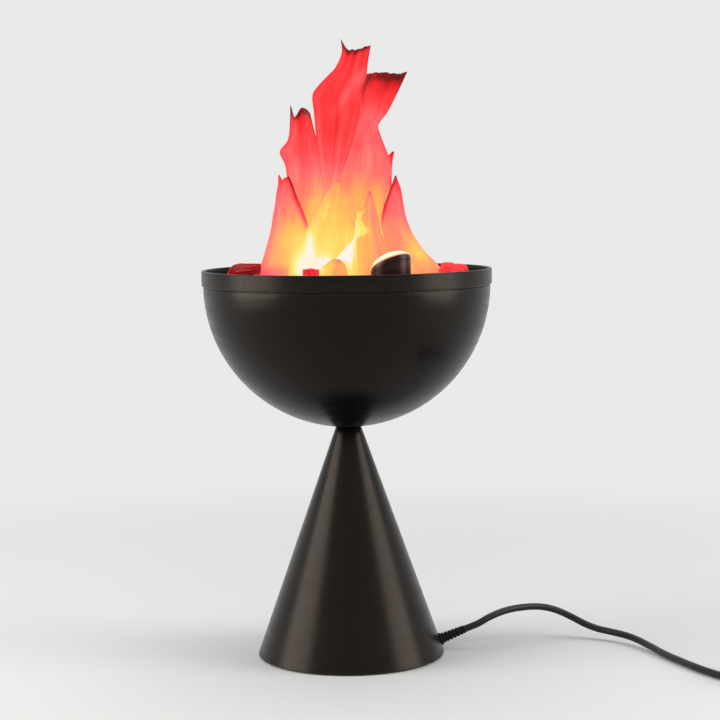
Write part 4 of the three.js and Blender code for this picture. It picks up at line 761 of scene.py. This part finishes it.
TONGUES = {
    "low_left": dict(sector=(129, 231), waves=1.5, shares=[
        (-55, 70, 11, -55, -70, 11, 39), (-50, 60, 17, -48, -60, 17, 36),
        (-44, 50, 24, -42, -50, 24, 36), (-42, 42, 30, -36, -42, 30, 36),
        (-48, 32, 36, -40.5, -32, 36, 28), (-60, 13, 42, -47, -20, 42, 15),
        (-63, 8, 46.5, -51.5, -12, 46.5, 8), (-65.5, 5, 50, -55, -6, 49.5, 2)],
        crown=[(0, 1.5), (0.25, 0), (0.55, 4), (0.8, 2), (1, 0.5)],
        painted_light_by_height=[(320, 0), (334, -0.06), (340, -0.14), (344, -0.24)], edge=0.42, edge_wide=1.6,
        edge_from=298, gleams=[(-64, 276, -53, 332, 6, -0.13), (-62, 275, -38, 276, 4, -0.12)]),
    "front_left": dict(sector=(233, 269), shares=[
        (-57, -79, 10, -3, -97, 10, 4), (-50, -72, 20, 1, -88, 20, 5),
        (-38, -64, 30, 5, -78, 30, 5), (-27, -59, 38, 4, -69, 38, 4),
        (-16, -55, 44, 0, -60, 44, 2), (-7, -55, 48, -5, -55, 48, 0)],
        painted_light_by_height=[(276, 0.02), (318, 0.03), (341, 0.05)], edge=0.05),
    "front_right": dict(sector=(271, 307), shares=[
        (5, -96, 10, 56, -79, 10, 4), (8, -87, 20, 42, -72, 20, 4),
        (11, -79, 28, 33.5, -66, 28, 4), (14, -72, 34.5, 30, -62, 34.5, 2),
        (19, -66, 40, 27, -62, 40, 1), (22, -63, 43.5, 24, -62, 43.5, 0)],
        painted_light_by_height=[(276, 0.02), (318, 0.03), (333, 0.04)], edge=0.05),
    "low_right": dict(sector=(309, 411), waves=1.5, shares=[
        (58, -72, 11, 58, 72, 11, 41), (53, -66, 16, 55, 66, 16, 37),
        (45, -58, 20.5, 48, 58, 20.5, 33), (37, -50, 26, 41, 50, 26, 30),
        (34, -42, 31.5, 38, 42, 31.5, 26), (37, -30, 38, 42, 30, 38, 18),
        (43, -15, 44, 47, 16, 44, 9), (48, -2, 49, 49, 2, 49, 0)],
        painted_light_by_height=[(300, 0), (312, -0.03), (334, -0.05), (340, -0.14), (344, -0.26)], edge=0.42,
        edge_wide=1.6, edge_from=306, gleams=[(36, 343, 46, 312, 3.2, -0.28)]),
    "back_right": dict(sector=(53, 89), shares=[
        (57, 79, 10, 3, 97, 10, 4), (52, 70, 23, 6, 84, 23, 4),
        (47, 58, 36, 11, 70, 36, 4), (45, 48, 46, 22, 58, 46, 3),
        (46, 42, 54, 36, 46, 54, 1), (48, 40, 58, 46, 41, 58, 0)],
        painted_light_by_height=[(330, 0), (350, -0.12), (360, -0.28)]),
    "back_left": dict(sector=(91, 127), shares=[
        (-3, 97, 10, -57, 79, 10, 4), (-6, 84, 23, -52, 70, 23, 4),
        (-14, 69, 36, -46, 58, 36, 4), (-25, 58, 46, -43, 50, 46, 2),
        (-37, 48, 54, -39, 47, 54, 0)],
        painted_light_by_height=[(330, 0), (345, -0.08), (352, -0.20)]),
    "mid_left": dict(sector=(172, 238), inside=True, shares=[
        (-88, 12, 10, -46, -72, 10, 10), (-78, 10, 20, -40, -56, 20, 8),
        (-66, 10, 30, -31, -38, 30, 6), (-57, 16, 42, -20, -20, 42, 3),
        (-58.5, 19, 53, -19, -6, 53, 2), (-64, 18, 58.5, -22.5, -4, 58.5, 2),
        (-56, 18, 62.5, -27, -2, 62.5, 2), (-53, 18, 68.5, -31, 0, 68.5, 2),
        (-52.5, 18, 75.7, -34.5, 3, 74.5, 1)],
        crown=[(0, 0), (0.1, 2.5), (0.24, 8), (0.38, 6), (0.52, 1.5), (0.64, 0.5), (0.84, 1.2),
               (1, 4)],
        painted_light_by_height=[(340, 0), (360, -0.04), (372, -0.06), (380, -0.10), (388, -0.18)],
        tip=0.25, tip_wide=6),
    "tall_centre": dict(sector=(240, 302), inside=True, waves=1.5, shares=[
        (-35, -78, 10, 42, -74, 10, 6), (-29, -66, 20, 30, -62, 20, 5),
        (-23, -50, 32, 8, -50, 32, 3), (-21, -38, 43, -8, -38, 43, 1),
        (-25, -26, 55, 2, -28, 55, 2), (-28, -20, 64, 9.5, -22, 64, 3),
        (-29.5, -16, 72, 14.5, -18, 71, 2), (-30.5, -12, 79, 15.5, -16, 76, 2),
        (-24, -10, 82.5, 16, -14, 80, 2), (-15, -8, 86, 21, -12, 85, 1),
        (-8, -6, 89, 23, -10, 90.5, 1), (-2, -6, 94.5, 25, -8, 94.5, 1),
        (-3, -6, 99.8, 26, -6, 97, 0)],
        crown=[(0, 0), (0.05, 1.5), (0.12, 4.5), (0.25, 6), (0.45, 5.5), (0.7, 4.5), (0.92, 1.5),
               (1, 0)],
        painted_light_by_height=[(340, 0), (352, -0.07), (372, -0.06), (390, -0.03), (408, 0), (428, -0.05),
              (438, -0.16)],
        edge=0.07, tip=0.22, gleams=[(-4, 390, 11, 411, 3.6, 0.13), (-8, 372, -4, 392, 5, -0.04)]),
    "tall_right": dict(sector=(304, 380), inside=True, shares=[
        (64, -54, 10, 82, 34, 10, 6), (44, -36, 20, 60, 36, 20, 6),
        (22, -24, 26, 48, 32, 26, 4), (2, -16, 32, 41, 28, 32, 3),
        (-9, -10, 38, 38, 24, 38, 2), (-11, -4, 44, 40, 22, 44, 2),
        (-6, 0, 50.5, 45, 20, 50.5, 2), (-2, 4, 54.5, 43.5, 18, 54.5, 2),
        (4, 10, 60, 38.5, 12, 60, 1), (7, 16, 64, 34.5, 6, 64, 0),
        (9, 22, 67.5, 32, 2, 67.5, 0), (12, 30, 73, 42, 12, 73, 0),
        (12, 34, 80, 52, 20, 80, 2), (20, 32, 87.5, 61.5, 24, 87.5, 2)],
        crown=[(0, 1.5), (0.15, 0.4), (0.5, 0), (0.82, 1.2), (1, 0)],
        painted_light_by_height=[(330, 0), (360, 0.04), (382, 0.11), (392, 0.04), (400, -0.06), (406, -0.16),
              (416, -0.22)],
        edge=0.07, tip=0.20, tip_wide=9,
        gleams=[(13, 412, 12, 397, 3, -0.14), (17, 330, 22, 388, 5, 0.05)]),
    "back_inner": dict(sector=(58, 122), inside=True, shares=[
        (38, 74, 10, -38, 74, 10, 4), (32, 62, 20, -34, 60, 20, 4),
        (27, 52, 32, -27, 50, 32, 4), (20, 44, 44, -20, 42, 44, 3),
        (13, 42, 55, -17, 40, 55, 2), (6, 42, 63, -14, 40, 63, 1),
        (-5, 42, 70, -7, 42, 70, 0)],
        painted_light_by_height=[(350, 0), (372, -0.10), (382, -0.25)]),
}

# Small strips in front: a low fold over the lamp's glow, darkened with painted shade, and a flap
# with a kite and a curl, lit with painted light
STRIPS = {
    "fold": dict(sector=(254, 266), over=2.2, shares=[
        (-31, -110, 10, 2, -110, 10, 2), (-28, -112, 14.3, 1, -109, 14, 2),
        (-21.5, -111, 16.7, -0.5, -107, 16.5, 1), (-15, -109, 18.6, -3, -105, 18.2, 0),
        (-11.5, -107, 19.3, -7, -104, 19.2, 0)],
        painted_light_by_height=[(268, -0.10), (285, -0.14)], edge=0.24, edge_wide=1.0, edge_from=272),
    "flap": dict(sector=(262, 276), over=1.2, shares=[
        (-18, -100, 10, 11, -101, 10, 2), (-15, -96, 15, 11, -97, 15, 2),
        (-8, -92, 20, 10, -93, 20, 1), (2, -89, 24, 10, -89, 24, 0),
        (7.5, -87, 26.5, 11, -87, 26.5, 0), (8, -85, 29, 23, -85, 28.8, 1),
        (9, -83, 31.5, 18, -83, 31, 1), (10.5, -82, 34, 15, -82, 34, 0),
        (10, -81, 36.2, 21.5, -81, 37.8, 0)],
        painted_light_by_height=[(276, 0.12), (298, 0.21), (318, 0.20)], edge=0.04),
}

# The painted glow seen from the front, by height: the flame's sides, and what its middle adds
SIDE_PAINTED_LIGHT = [(276, 0.56), (304, 0.56), (316, 0.50), (330, 0.48), (345, 0.46), (360, 0.41),
             (374, 0.34), (388, 0.30), (415, 0.29), (428, 0.24), (438, 0.15)]
MIDDLE_PAINTED_LIGHT = [(276, 0.20), (304, 0.23), (316, 0.24), (325, 0.20), (339, 0.09), (352, 0.03),
               (365, 0)]
MIDDLE_X, MIDDLE_WIDE = -8.0, 25.0
BACK_DEEP, BACK_LOW, BACK_HIGH = 12.0, 330.0, 350.0
# Each lamp's painted spots of light: x, z, half width, half height and the painted light added
SPOTS = [(-24.5, 277, 11.5, 8, 0.31), (-29, 286, 20, 19, 0.19), (2, 292, 4.5, 15, 0.12),
         (50, 289, 10, 13, 0.17), (46, 284, 13, 12, 0.05), (-23, 328, 7, 14, 0.08),
         (-35, 300, 10, 20, 0.09)]
# Painted rays of light from the lamp behind the left tongue, from one place to another: width and
# the painted light added
RAYS = [(-24, 279, -25, 302, 1.8, 0.12), (-24, 279, -14, 284, 3.0, 0.08),
        (-14.5, 315, -12, 322, 1.6, 0.10)]
# Sines of the torn edge: size, waves and shift by the seed
TEARS = ((0.5, 23, 1.0), (0.3, 51, 2.1), (0.2, 97, 0.7))
TORN_FROM, TOP_STEP = 0.55, 0.2
# Folds: how they start above the hoop by row, what they and the edges are made of, and the light
# and shade painted on the folds
GATHER = ((2.0, 0.5), (3.0, 1.0))
CALM_EDGE, EDGE_POWER, FLUTTER_WAVES = 0.35, 6, 2.3
# Painted light and shade that the pleats and the broad waves add
PLEAT_PAINTED_SHADE, WAVE_PAINTED_SHADE = 0.05, 0.02
# Painted shade at the side edges and torn tops: where it fades in, in mm, and by the rise
EDGE_FADE, NARROW_SPAN, BROAD_SPAN, TIP_LOW, TIP_HIGH = 15, 4, 12, 0.5, 0.8


def graph(x, points):
    """The value at x, on straight lines between (x, value) points."""
    return np.interp(x, *zip(*points))


def oval(turn, offset):
    """A place on the hoop's many-sided oval, moved outward by an offset."""
    low = floor(turn / HOOP_SIDE_TURN)
    share = turn / HOOP_SIDE_TURN - low
    size = np.array([HOOP_LENGTH + offset, HOOP_WIDTH + offset])
    a, b = (radians(HOOP_SIDE_TURN * k) for k in (low, low + 1))
    return (size * (cos(a), sin(a)) * (1 - share)
            + size * (cos(b), sin(b)) * share)


def tongue_rows(tongue, u):
    """The control rows of a tongue: two on the hoop, then one for each row of shares.

    A row of shares is the left edge, the right edge and the bow between them: across and
    along in percent of the hoop's half sizes, and up in percent of the flame's height.
    """
    start, end = tongue["sector"]
    out = SEAT + CAD_SILK / 2 + tongue.get("over", 0)
    offset = -(HOOP_WALL + out) if tongue.get("inside") else out
    hem = np.array([oval(start + (end - start) * x, offset) for x in u])
    rows = [np.column_stack([hem, np.full(len(u), z)]) for z in (HOOP_Z + SEAT, HOOP_TOP + SEAT)]
    widths = [1.0, 1.0]
    size = np.array([HOOP_LENGTH, HOOP_WIDTH, FLAME]) * PERCENT
    for row in tongue["shares"]:
        left, right = (np.array(row[k:k + 3]) * size + (0, 0, DECK_TOP) for k in (0, 3))
        along = right - left
        flat = np.array([along[1], -along[0], 0.0])
        outward = flat / max(norm(flat), 1e-6)
        bow = row[6] * PERCENT * HOOP_LENGTH * 4 * u * (1 - u)
        rows.append(left + np.outer(u, along) + np.outer(bow, outward))
        widths.append(min(1.0, norm(along) / HOOP_WIDTH * 2))
    return np.array(rows), np.array(widths)


def bell(distance, width):
    """A soft spot's strength at a distance from its middle."""
    return np.exp(-(distance / width) ** 2)


def gleam(x, z, line):
    """A painted highlight or painted shade: a brighter or darker streak along a line from one place
    to another.
    """
    x0, z0, x1, z1, width, amount = line
    length = hypot(x1 - x0, z1 - z0)
    ax, az = (x1 - x0) / length, (z1 - z0) / length
    along = (x - x0) * ax + (z - z0) * az
    across = (x - x0) * az - (z - z0) * ax
    past = along - np.clip(along, 0, length)
    return amount * bell(across, width) * bell(past, 2 * width)


def glow(x, y, z):
    """The silk's painted light by place; the back shows the front's painted glow turned half round.
    """
    def seen(x):
        """The glow as the front shows it."""
        heat = graph(z, SIDE_PAINTED_LIGHT) + graph(z, MIDDLE_PAINTED_LIGHT) * bell(x - MIDDLE_X, MIDDLE_WIDE)
        for spot_x, spot_z, wide, high, amount in SPOTS:
            heat = heat + amount * bell(x - spot_x, wide) * bell(z - spot_z, high)
        for line in RAYS:
            heat = heat + gleam(x, z, line)
        return heat
    back = smooth(-BACK_DEEP, BACK_DEEP, y) * (1 - smooth(BACK_LOW, BACK_HIGH, z))
    return seen(x) * (1 - back) + seen(-x) * back


def along_columns(line, s):
    """Points of a grid at fractional rows s, given per row and column."""
    low = np.clip(np.floor(s).astype(int), 0, len(line) - 2)
    share = (s - low)[..., None]
    columns = np.arange(line.shape[1])[None, :]
    return line[low, columns] * (1 - share) + line[low + 1, columns] * share


def tongue_grid(tongue, u, seed):
    """The tongue's points with its torn top and no folds, its rows, widths and depths."""
    rows, narrow = tongue_rows(tongue, u)
    count = len(rows)
    line = catmull(rows.reshape(count, -1), PER_ROW)[0].reshape(-1, len(u), 3)
    for k in range(PER_ROW):
        share = k / PER_ROW
        line[k] = rows[0] * (1 - share) + rows[1] * share
    length = (count - 1) * PER_ROW
    top_step = max(norm(line[-1] - line[-2], axis=1).mean(), TOP_STEP)
    crown = graph(u, tongue.get("crown", [(0, 0), (1, 0)]))
    tears = sum(size * np.sin(waves * u + shift * seed) for size, waves, shift in TEARS)
    last = length - (crown + np.abs(TORN_DEEP * tears) * narrow[-1]) / top_step
    level = np.arange(length + 1)[:, None]
    top_only = smooth(TORN_FROM, 1.0, level / length)
    s = level * (1 - top_only) + level / length * last[None, :] * top_only
    points = along_columns(line, np.clip(s, 0, length))
    return points, s / PER_ROW, narrow, (last[None, :] - s) * top_step


def tongue_folds(tongue, u, row, narrow, seed):
    """How far the folds stand out, and their light and shade.

    The CAD's own waves carry finer pleats, and the edges flutter.
    """
    count = len(narrow)
    width = np.interp(row, np.arange(count), narrow)
    free = smooth(1.0, 2.0, row)
    rise = row / count
    window = np.sin(pi * u)[None, :]
    waves = tongue.get("waves", 1)
    main = np.sin(2 * pi * waves * u)[None, :] * window * graph(row, GATHER)
    fine = 0
    for size, across, drift, shift in ((0.42, 2.4 * waves, 0.35, 1.0),
                                       (0.20, 4.7 * waves, -0.5, 1.7), (0.10, 9.1, 0.8, 0.4)):
        turn = 2 * pi * (across * u[None, :] + drift * rise) + shift * seed
        fine = fine + size * np.sin(turn)
    fine = fine * (CALM_EDGE + (1 - CALM_EDGE) * window)
    flutter = np.sin(2 * pi * FLUTTER_WAVES * rise + seed) * smooth(1.5, 3.0, row)
    flutter = FLUTTER * np.abs(2 * u - 1)[None, :] ** EDGE_POWER * flutter
    folds = free * width * (WAVE * main + PLEAT * fine) + flutter * width
    return folds, free * (PLEAT_PAINTED_SHADE * fine + WAVE_PAINTED_SHADE * main)


def folded(grid, folds):
    """The grid's points moved along its normals."""
    normal = np.cross(np.gradient(grid, axis=1), np.gradient(grid, axis=0))
    normal = normal / np.maximum(norm(normal, axis=2, keepdims=True), 1e-9)
    return grid + normal * folds[..., None]


def tongue_painted_light(tongue, grid, u, shading, rise, from_top):
    """The painted light by place and by fold, with painted shade at the edges and at the torn top.
    """
    x, y, z = np.moveaxis(grid, 2, 0)
    heat = glow(x, y, z) + graph(z, tongue["painted_light_by_height"])
    for line in tongue.get("gleams", []):
        heat = heat + gleam(x, z, line)
    # Painted shade along the side edges and under the torn top
    span = norm(grid[:, -1] - grid[:, 0], axis=1)[:, None]
    to_edge = np.minimum(u, 1 - u)[None, :] * span
    near_edge = 1 - smooth(0.0, tongue.get("edge_wide", 2.4), to_edge)
    edge_low = tongue.get("edge_from", 285)
    near_edge *= smooth(edge_low, edge_low + EDGE_FADE, z) * smooth(NARROW_SPAN, BROAD_SPAN, span)
    near_top = 1 - smooth(0.0, tongue.get("tip_wide", 4.5), from_top)
    near_top = near_top * smooth(TIP_LOW, TIP_HIGH, rise)
    heat = heat + shading - tongue.get("edge", 0.15) * near_edge
    return np.clip(heat - tongue.get("tip", 0.12) * near_top, 0, 1)


def flat_size(grid):
    """The greatest width and height along the cloth, and its area, in mm."""
    across = norm(np.diff(grid, axis=1), axis=2).sum(axis=1)
    up = norm(np.diff(grid, axis=0), axis=2).sum(axis=0)
    lower = np.cross(grid[1:, :-1] - grid[:-1, :-1], grid[:-1, 1:] - grid[:-1, :-1])
    upper = np.cross(grid[1:, 1:] - grid[:-1, 1:], grid[1:, 1:] - grid[1:, :-1])
    area = (norm(lower, axis=2).sum() + norm(upper, axis=2).sum()) / 2
    return float(across.max()), float(up.max()), float(area)


def silk_tongue(name, tongue, seed):
    """One strip of silk, a thin sheet gathered on the hoop.

    Its sector is in degrees round the hoop, inside or outside it. Its crown lowers the torn
    top across the width, its light by height adds painted light or shade at each height, and
    its edge and tip darken it there with painted shade: all in mm. Its gleams are lines of
    painted highlight or shade from one place to another, with width and painted light.
    """
    start, end = tongue["sector"]
    columns = WIDE_COLUMNS if end - start > WIDE_SECTOR else NARROW_COLUMNS
    u = np.linspace(0.0, 1.0, columns)
    grid, row, narrow, from_top = tongue_grid(tongue, u, seed)
    folds, shading = tongue_folds(tongue, u, row, narrow, seed)
    grid = folded(grid, folds)
    heat = tongue_painted_light(tongue, grid, u, shading, row / len(narrow), from_top)
    faces = grid_faces(len(grid), columns, columns_close=False)
    piece = new_mesh(f"silk_cloth_{name}", grid.reshape(-1, 3), faces, silk, "base",
                     attributes={"silk_glow": heat})
    thick = piece.modifiers.new("thickness", "SOLIDIFY")
    thick.thickness = SILK_THICK * MM
    thick.offset = 0.0
    width, height, area = flat_size(grid)
    return piece


for k, (name, tongue) in enumerate(TONGUES.items()):
    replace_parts(silk_tongue(name, tongue, 1.3 + 2.17 * k), f"silk_{name}")
for k, (name, strip) in enumerate(STRIPS.items()):
    silk_tongue(name, strip, 0.9 + 1.7 * k)

# Rolled silk corners beside the hoop: a path of out, along and up, and painted light from foot to
# end
STAND_OFF = 2 * SEAT + CAD_SILK
ROLL, ROLL_STEPS, ROLL_SIDES, BOX_POWER = 3.8, 24, 96, 5
START_GROWTH, END_GROWTH = (0.12, 0.5, 0.85), (0.88, 0.55, 0.15)
END_REACH, END_CREASE = 0.8, 0.25
# What lifts a roll's surface, in parts of its radius, and the painted light and shade that each
# adds
THIN, WRAP_RISE, PLEAT_RISE, CREASE_RISE = 0.88, 0.14, 0.09, 0.10
WRAP_PAINTED_SHADE, LUMP_PAINTED_SHADE, ROLL_PLEAT_PAINTED_SHADE, CREASE_PAINTED_SHADE = 0.06, 0.02, 0.10, 0.08
WRAP_TURNS = 0.9
# Sines of a roll's lumps: size, waves round it and along it, and shift by the seed
LUMPS = ((1.0, 3, 7, 1), (0.7, 2, 19, 2), (0.5, 8, -31, 0))
ROLLS = {
    "left": dict(azimuth=180, square=0.9, lumps=0.03, heat=(0.10, 0.12, 0.20, 0.01, 0.0, 0.02),
                 shares=[(0.80, 0.02, 0), (0.82, 0.02, 0.4), (0.80, 0.10, 0.80),
                         (-0.2, 0.30, 1.03), (-2.4, 0.46, 1.06), (-4.5, 0.52, 1.06)]),
    "front": dict(azimuth=-90, square=0.9, lumps=0.03, flat=1.45, heat=(0.18, 0.20, 0.24),
                  shares=[(1.25, -0.33, 0), (1.25, -0.335, 0.5), (1.05, -0.33, 1.08)]),
    "right": dict(azimuth=0, square=0.2, lumps=0.19, heat=(0.12, 0.10, 0.14, 0.24, 0.27),
                  shares=[(1.68, 0.02, 0), (1.70, 0.02, 0.4), (1.72, -0.03, 0.74),
                          (1.0, -0.16, 0.93), (-0.6, -0.34, 0.97), (-3.0, -0.46, 0.98)]),
}


def roll_frame(roll):
    """The roll's middle line, and its ways forward, sideways and across at each point."""
    height = RIM_TOP - HOOP_Z
    endways = roll["azimuth"] % 180 == 0
    reach, width = (HOOP_LENGTH, HOOP_WIDTH) if endways else (HOOP_WIDTH, HOOP_LENGTH)
    path = placed([(reach + STAND_OFF + ROLL * (out + 1), along * width, up * height)
                   for out, along, up in roll["shares"]], (0, 0, HOOP_Z), roll["azimuth"])
    line = catmull(path, ROLL_STEPS)[0]
    forward = np.gradient(line, axis=0)
    forward /= norm(forward, axis=1, keepdims=True)
    side = np.cross(forward, placed([(0, 1, 0)], (0, 0, 0), roll["azimuth"])[0])
    side /= norm(side, axis=1, keepdims=True)
    return line, forward, side, np.cross(forward, side)


def silk_roll(name, roll, seed):
    """A wrapped, lumpy and creased tube of silk with rounded ends, with painted light and shade
    along it and on its wraps, lumps, pleats and creases.
    """
    line, forward, side, other = roll_frame(roll)
    last = len(line) - 1
    theta = np.linspace(0, 2 * pi, ROLL_SIDES, endpoint=False)
    ring_x, ring_y = np.cos(theta), np.sin(theta)
    box_like = (np.abs(ring_x) ** BOX_POWER + np.abs(ring_y) ** BOX_POWER) ** (-1 / BOX_POWER)
    section = 1 - roll["square"] + roll["square"] * box_like
    steps = ([(0, grow) for grow in START_GROWTH] + [(k, 1.0) for k in range(last + 1)]
             + [(last, grow) for grow in END_GROWTH])
    rings, heat = [], []
    for k, grow in steps:
        t = k / last
        wrap = np.mod(theta / (2 * pi) + WRAP_TURNS * t + 0.1 * seed, 1.0)
        lumps = sum(size * np.sin(around * theta + along * t + shift * seed)
                    for size, around, along, shift in LUMPS)
        pleats = np.abs(np.sin(5 * theta + 5 * t + seed)) - 0.6
        creases = 0.5 * np.abs(np.sin(26 * t + 1.3 * np.sin(2 * theta) + seed)) - 0.3
        radius = ROLL * grow * section * (THIN + WRAP_RISE * wrap + roll["lumps"] * lumps
                                          + PLEAT_RISE * pleats + CREASE_RISE * creases)
        shift = ((1 - grow) * (END_REACH if k else -END_REACH)
                 + END_CREASE * sin(6 * pi * grow))
        rings.append(line[k] + forward[k] * shift + np.outer(ring_x * radius, side[k])
                     + np.outer(ring_y * radius * roll.get("flat", 1.0), other[k]))
        # Painted light along the roll, with painted light and shade from its wraps, lumps, pleats
        # and creases
        painted_light_along = np.interp(t, np.linspace(0, 1, len(roll["heat"])), roll["heat"])
        heat.append(painted_light_along + WRAP_PAINTED_SHADE * (wrap - 0.5) + LUMP_PAINTED_SHADE * lumps
                    + ROLL_PLEAT_PAINTED_SHADE * pleats + CREASE_PAINTED_SHADE * creases)
    heat = np.clip(np.concatenate(heat), 0, 1)
    piece = stand_in(f"silk_rolled_{name}", *rings_mesh(rings), silk, f"silk_roll_{name}",
                     "red_silk", attributes={"silk_glow": heat})


for k, (name, roll) in enumerate(ROLLS.items()):
    silk_roll(name, roll, 0.8 + 1.9 * k)

# Stage: a pale floor that fades into the backdrop, and soft boxes at both sides and above
PALE, COOL = (0.82, 0.82, 0.815, 1.0), (0.92, 0.95, 1.0, 1.0)
FLOOR_R, FLOOR_SIDES, FLOOR_BELOW = 12.0, 96, -0.0002
FADE_NEAR, FADE_FAR = 0.25, 0.80
FILL_STRENGTH = 0.36
SOFT_WARM, SOFT_WHITE = (1.0, 0.95, 0.9), (1.0, 1.0, 1.0)
AIM_HEIGHT = 0.2
FLAME_RED, FLAME_ENERGY, FLAME_SIZE, FLAME_OVER_HOOP = (1.0, 0.10, 0.06), 0.5, 0.025, 28.0


def ray_mask(tree):
    """1 for camera, glossy and transmission rays, which see the pale backdrop."""
    path = add(tree, "LightPath", {})
    mask = math_node("MAXIMUM", path.outputs["Is Camera Ray"], path.outputs["Is Glossy Ray"])
    return math_node("MAXIMUM", mask, path.outputs["Is Transmission Ray"])


def floor_material():
    """Matt and pale, and further out as bright as the backdrop."""
    material, tree, shader = tree_of("stage_floor")
    patches = noise(coordinates(tree), 3.0, 3.0)
    tones = [(NOISE_LOW, shade(PALE, 0.985)), (NOISE_HIGH, PALE)]
    put(shader, {"Base Color": ramp(patches, tones), "Roughness": 0.85,
                 "Specular IOR Level": 0.1})
    place = add(tree, "TexCoord", {}).outputs["Object"]
    away = add(tree, "VectorMath", {0: place}, operation="LENGTH").outputs["Value"]
    fade = math_node("MULTIPLY", spread(away, 0.0, 1.0, FADE_NEAR, FADE_FAR), ray_mask(tree))
    pale = add(tree, "Emission", {"Color": PALE}).outputs[0]
    mix = add(tree, "MixShader", {0: fade, 1: shader.outputs[0], 2: pale})
    put(tree.nodes["Material Output"], {"Surface": mix.outputs[0]})
    return material


def stage_floor():
    """A wide disc just under the feet."""
    bm = bmesh.new()
    bmesh.ops.create_circle(bm, cap_ends=True, segments=FLOOR_SIDES, radius=FLOOR_R)
    mesh = bpy.data.meshes.new("stage_floor")
    bm.to_mesh(mesh)
    bm.free()
    mesh.materials.append(floor_material())
    disc = new_object("stage_floor", mesh)
    disc.location.z = FLOOR_BELOW


def studio_world():
    """A faint cool light all round, and the pale backdrop."""
    world = bpy.data.worlds.new("studio")
    scene.world = world
    world.use_nodes = True
    tree = world.node_tree
    tree.nodes.clear()
    fill = add(tree, "Background", {"Color": COOL, "Strength": FILL_STRENGTH}).outputs[0]
    pale = add(tree, "Background", {"Color": PALE, "Strength": 1.0}).outputs[0]
    mix = add(tree, "MixShader", {0: ray_mask(tree), 1: fill, 2: pale})
    add(tree, "OutputWorld", {"Surface": mix.outputs[0]})


def new_light(name, kind, energy, colour):
    """A lamp object and its light."""
    light = bpy.data.lights.new(name, kind)
    light.energy = energy
    light.color = colour
    return new_object(name, light), light


def soft_box(name, azimuth, elevation, distance, size, energy, colour):
    """A soft box aimed at the object; azimuth 0 is behind the camera, and grows to the right."""
    lamp, light = new_light(name, "AREA", energy, colour)
    light.shape = "RECTANGLE"
    light.size, light.size_y = size
    a, e = radians(azimuth), radians(elevation)
    target = Vector((0.0, 0.0, AIM_HEIGHT))
    lamp.location = target + Vector((sin(a) * cos(e), -cos(a) * cos(e),
                                     sin(e))) * distance
    lamp.rotation_euler = (target - lamp.location).to_track_quat("-Z", "Y").to_euler()
    lamp.visible_camera = False


def flame_light():
    """The lamps' red light inside the bowl, thrown back by the silk."""
    lamp, light = new_light("flame_light", "POINT", FLAME_ENERGY, FLAME_RED)
    light.shadow_soft_size = FLAME_SIZE
    lamp.location = (0.0, 0.0, (HOOP_TOP + FLAME_OVER_HOOP) * MM)


stage_floor()
studio_world()
soft_box("soft_left", -76, 16, 1.25, (0.9, 1.07), 14.4, SOFT_WARM)
soft_box("soft_right", 76, 16, 1.25, (0.74, 1.07), 10.6, SOFT_WARM)
soft_box("soft_top", 180, 80, 1.9, (1.6, 1.6), 11, SOFT_WHITE)
flame_light()
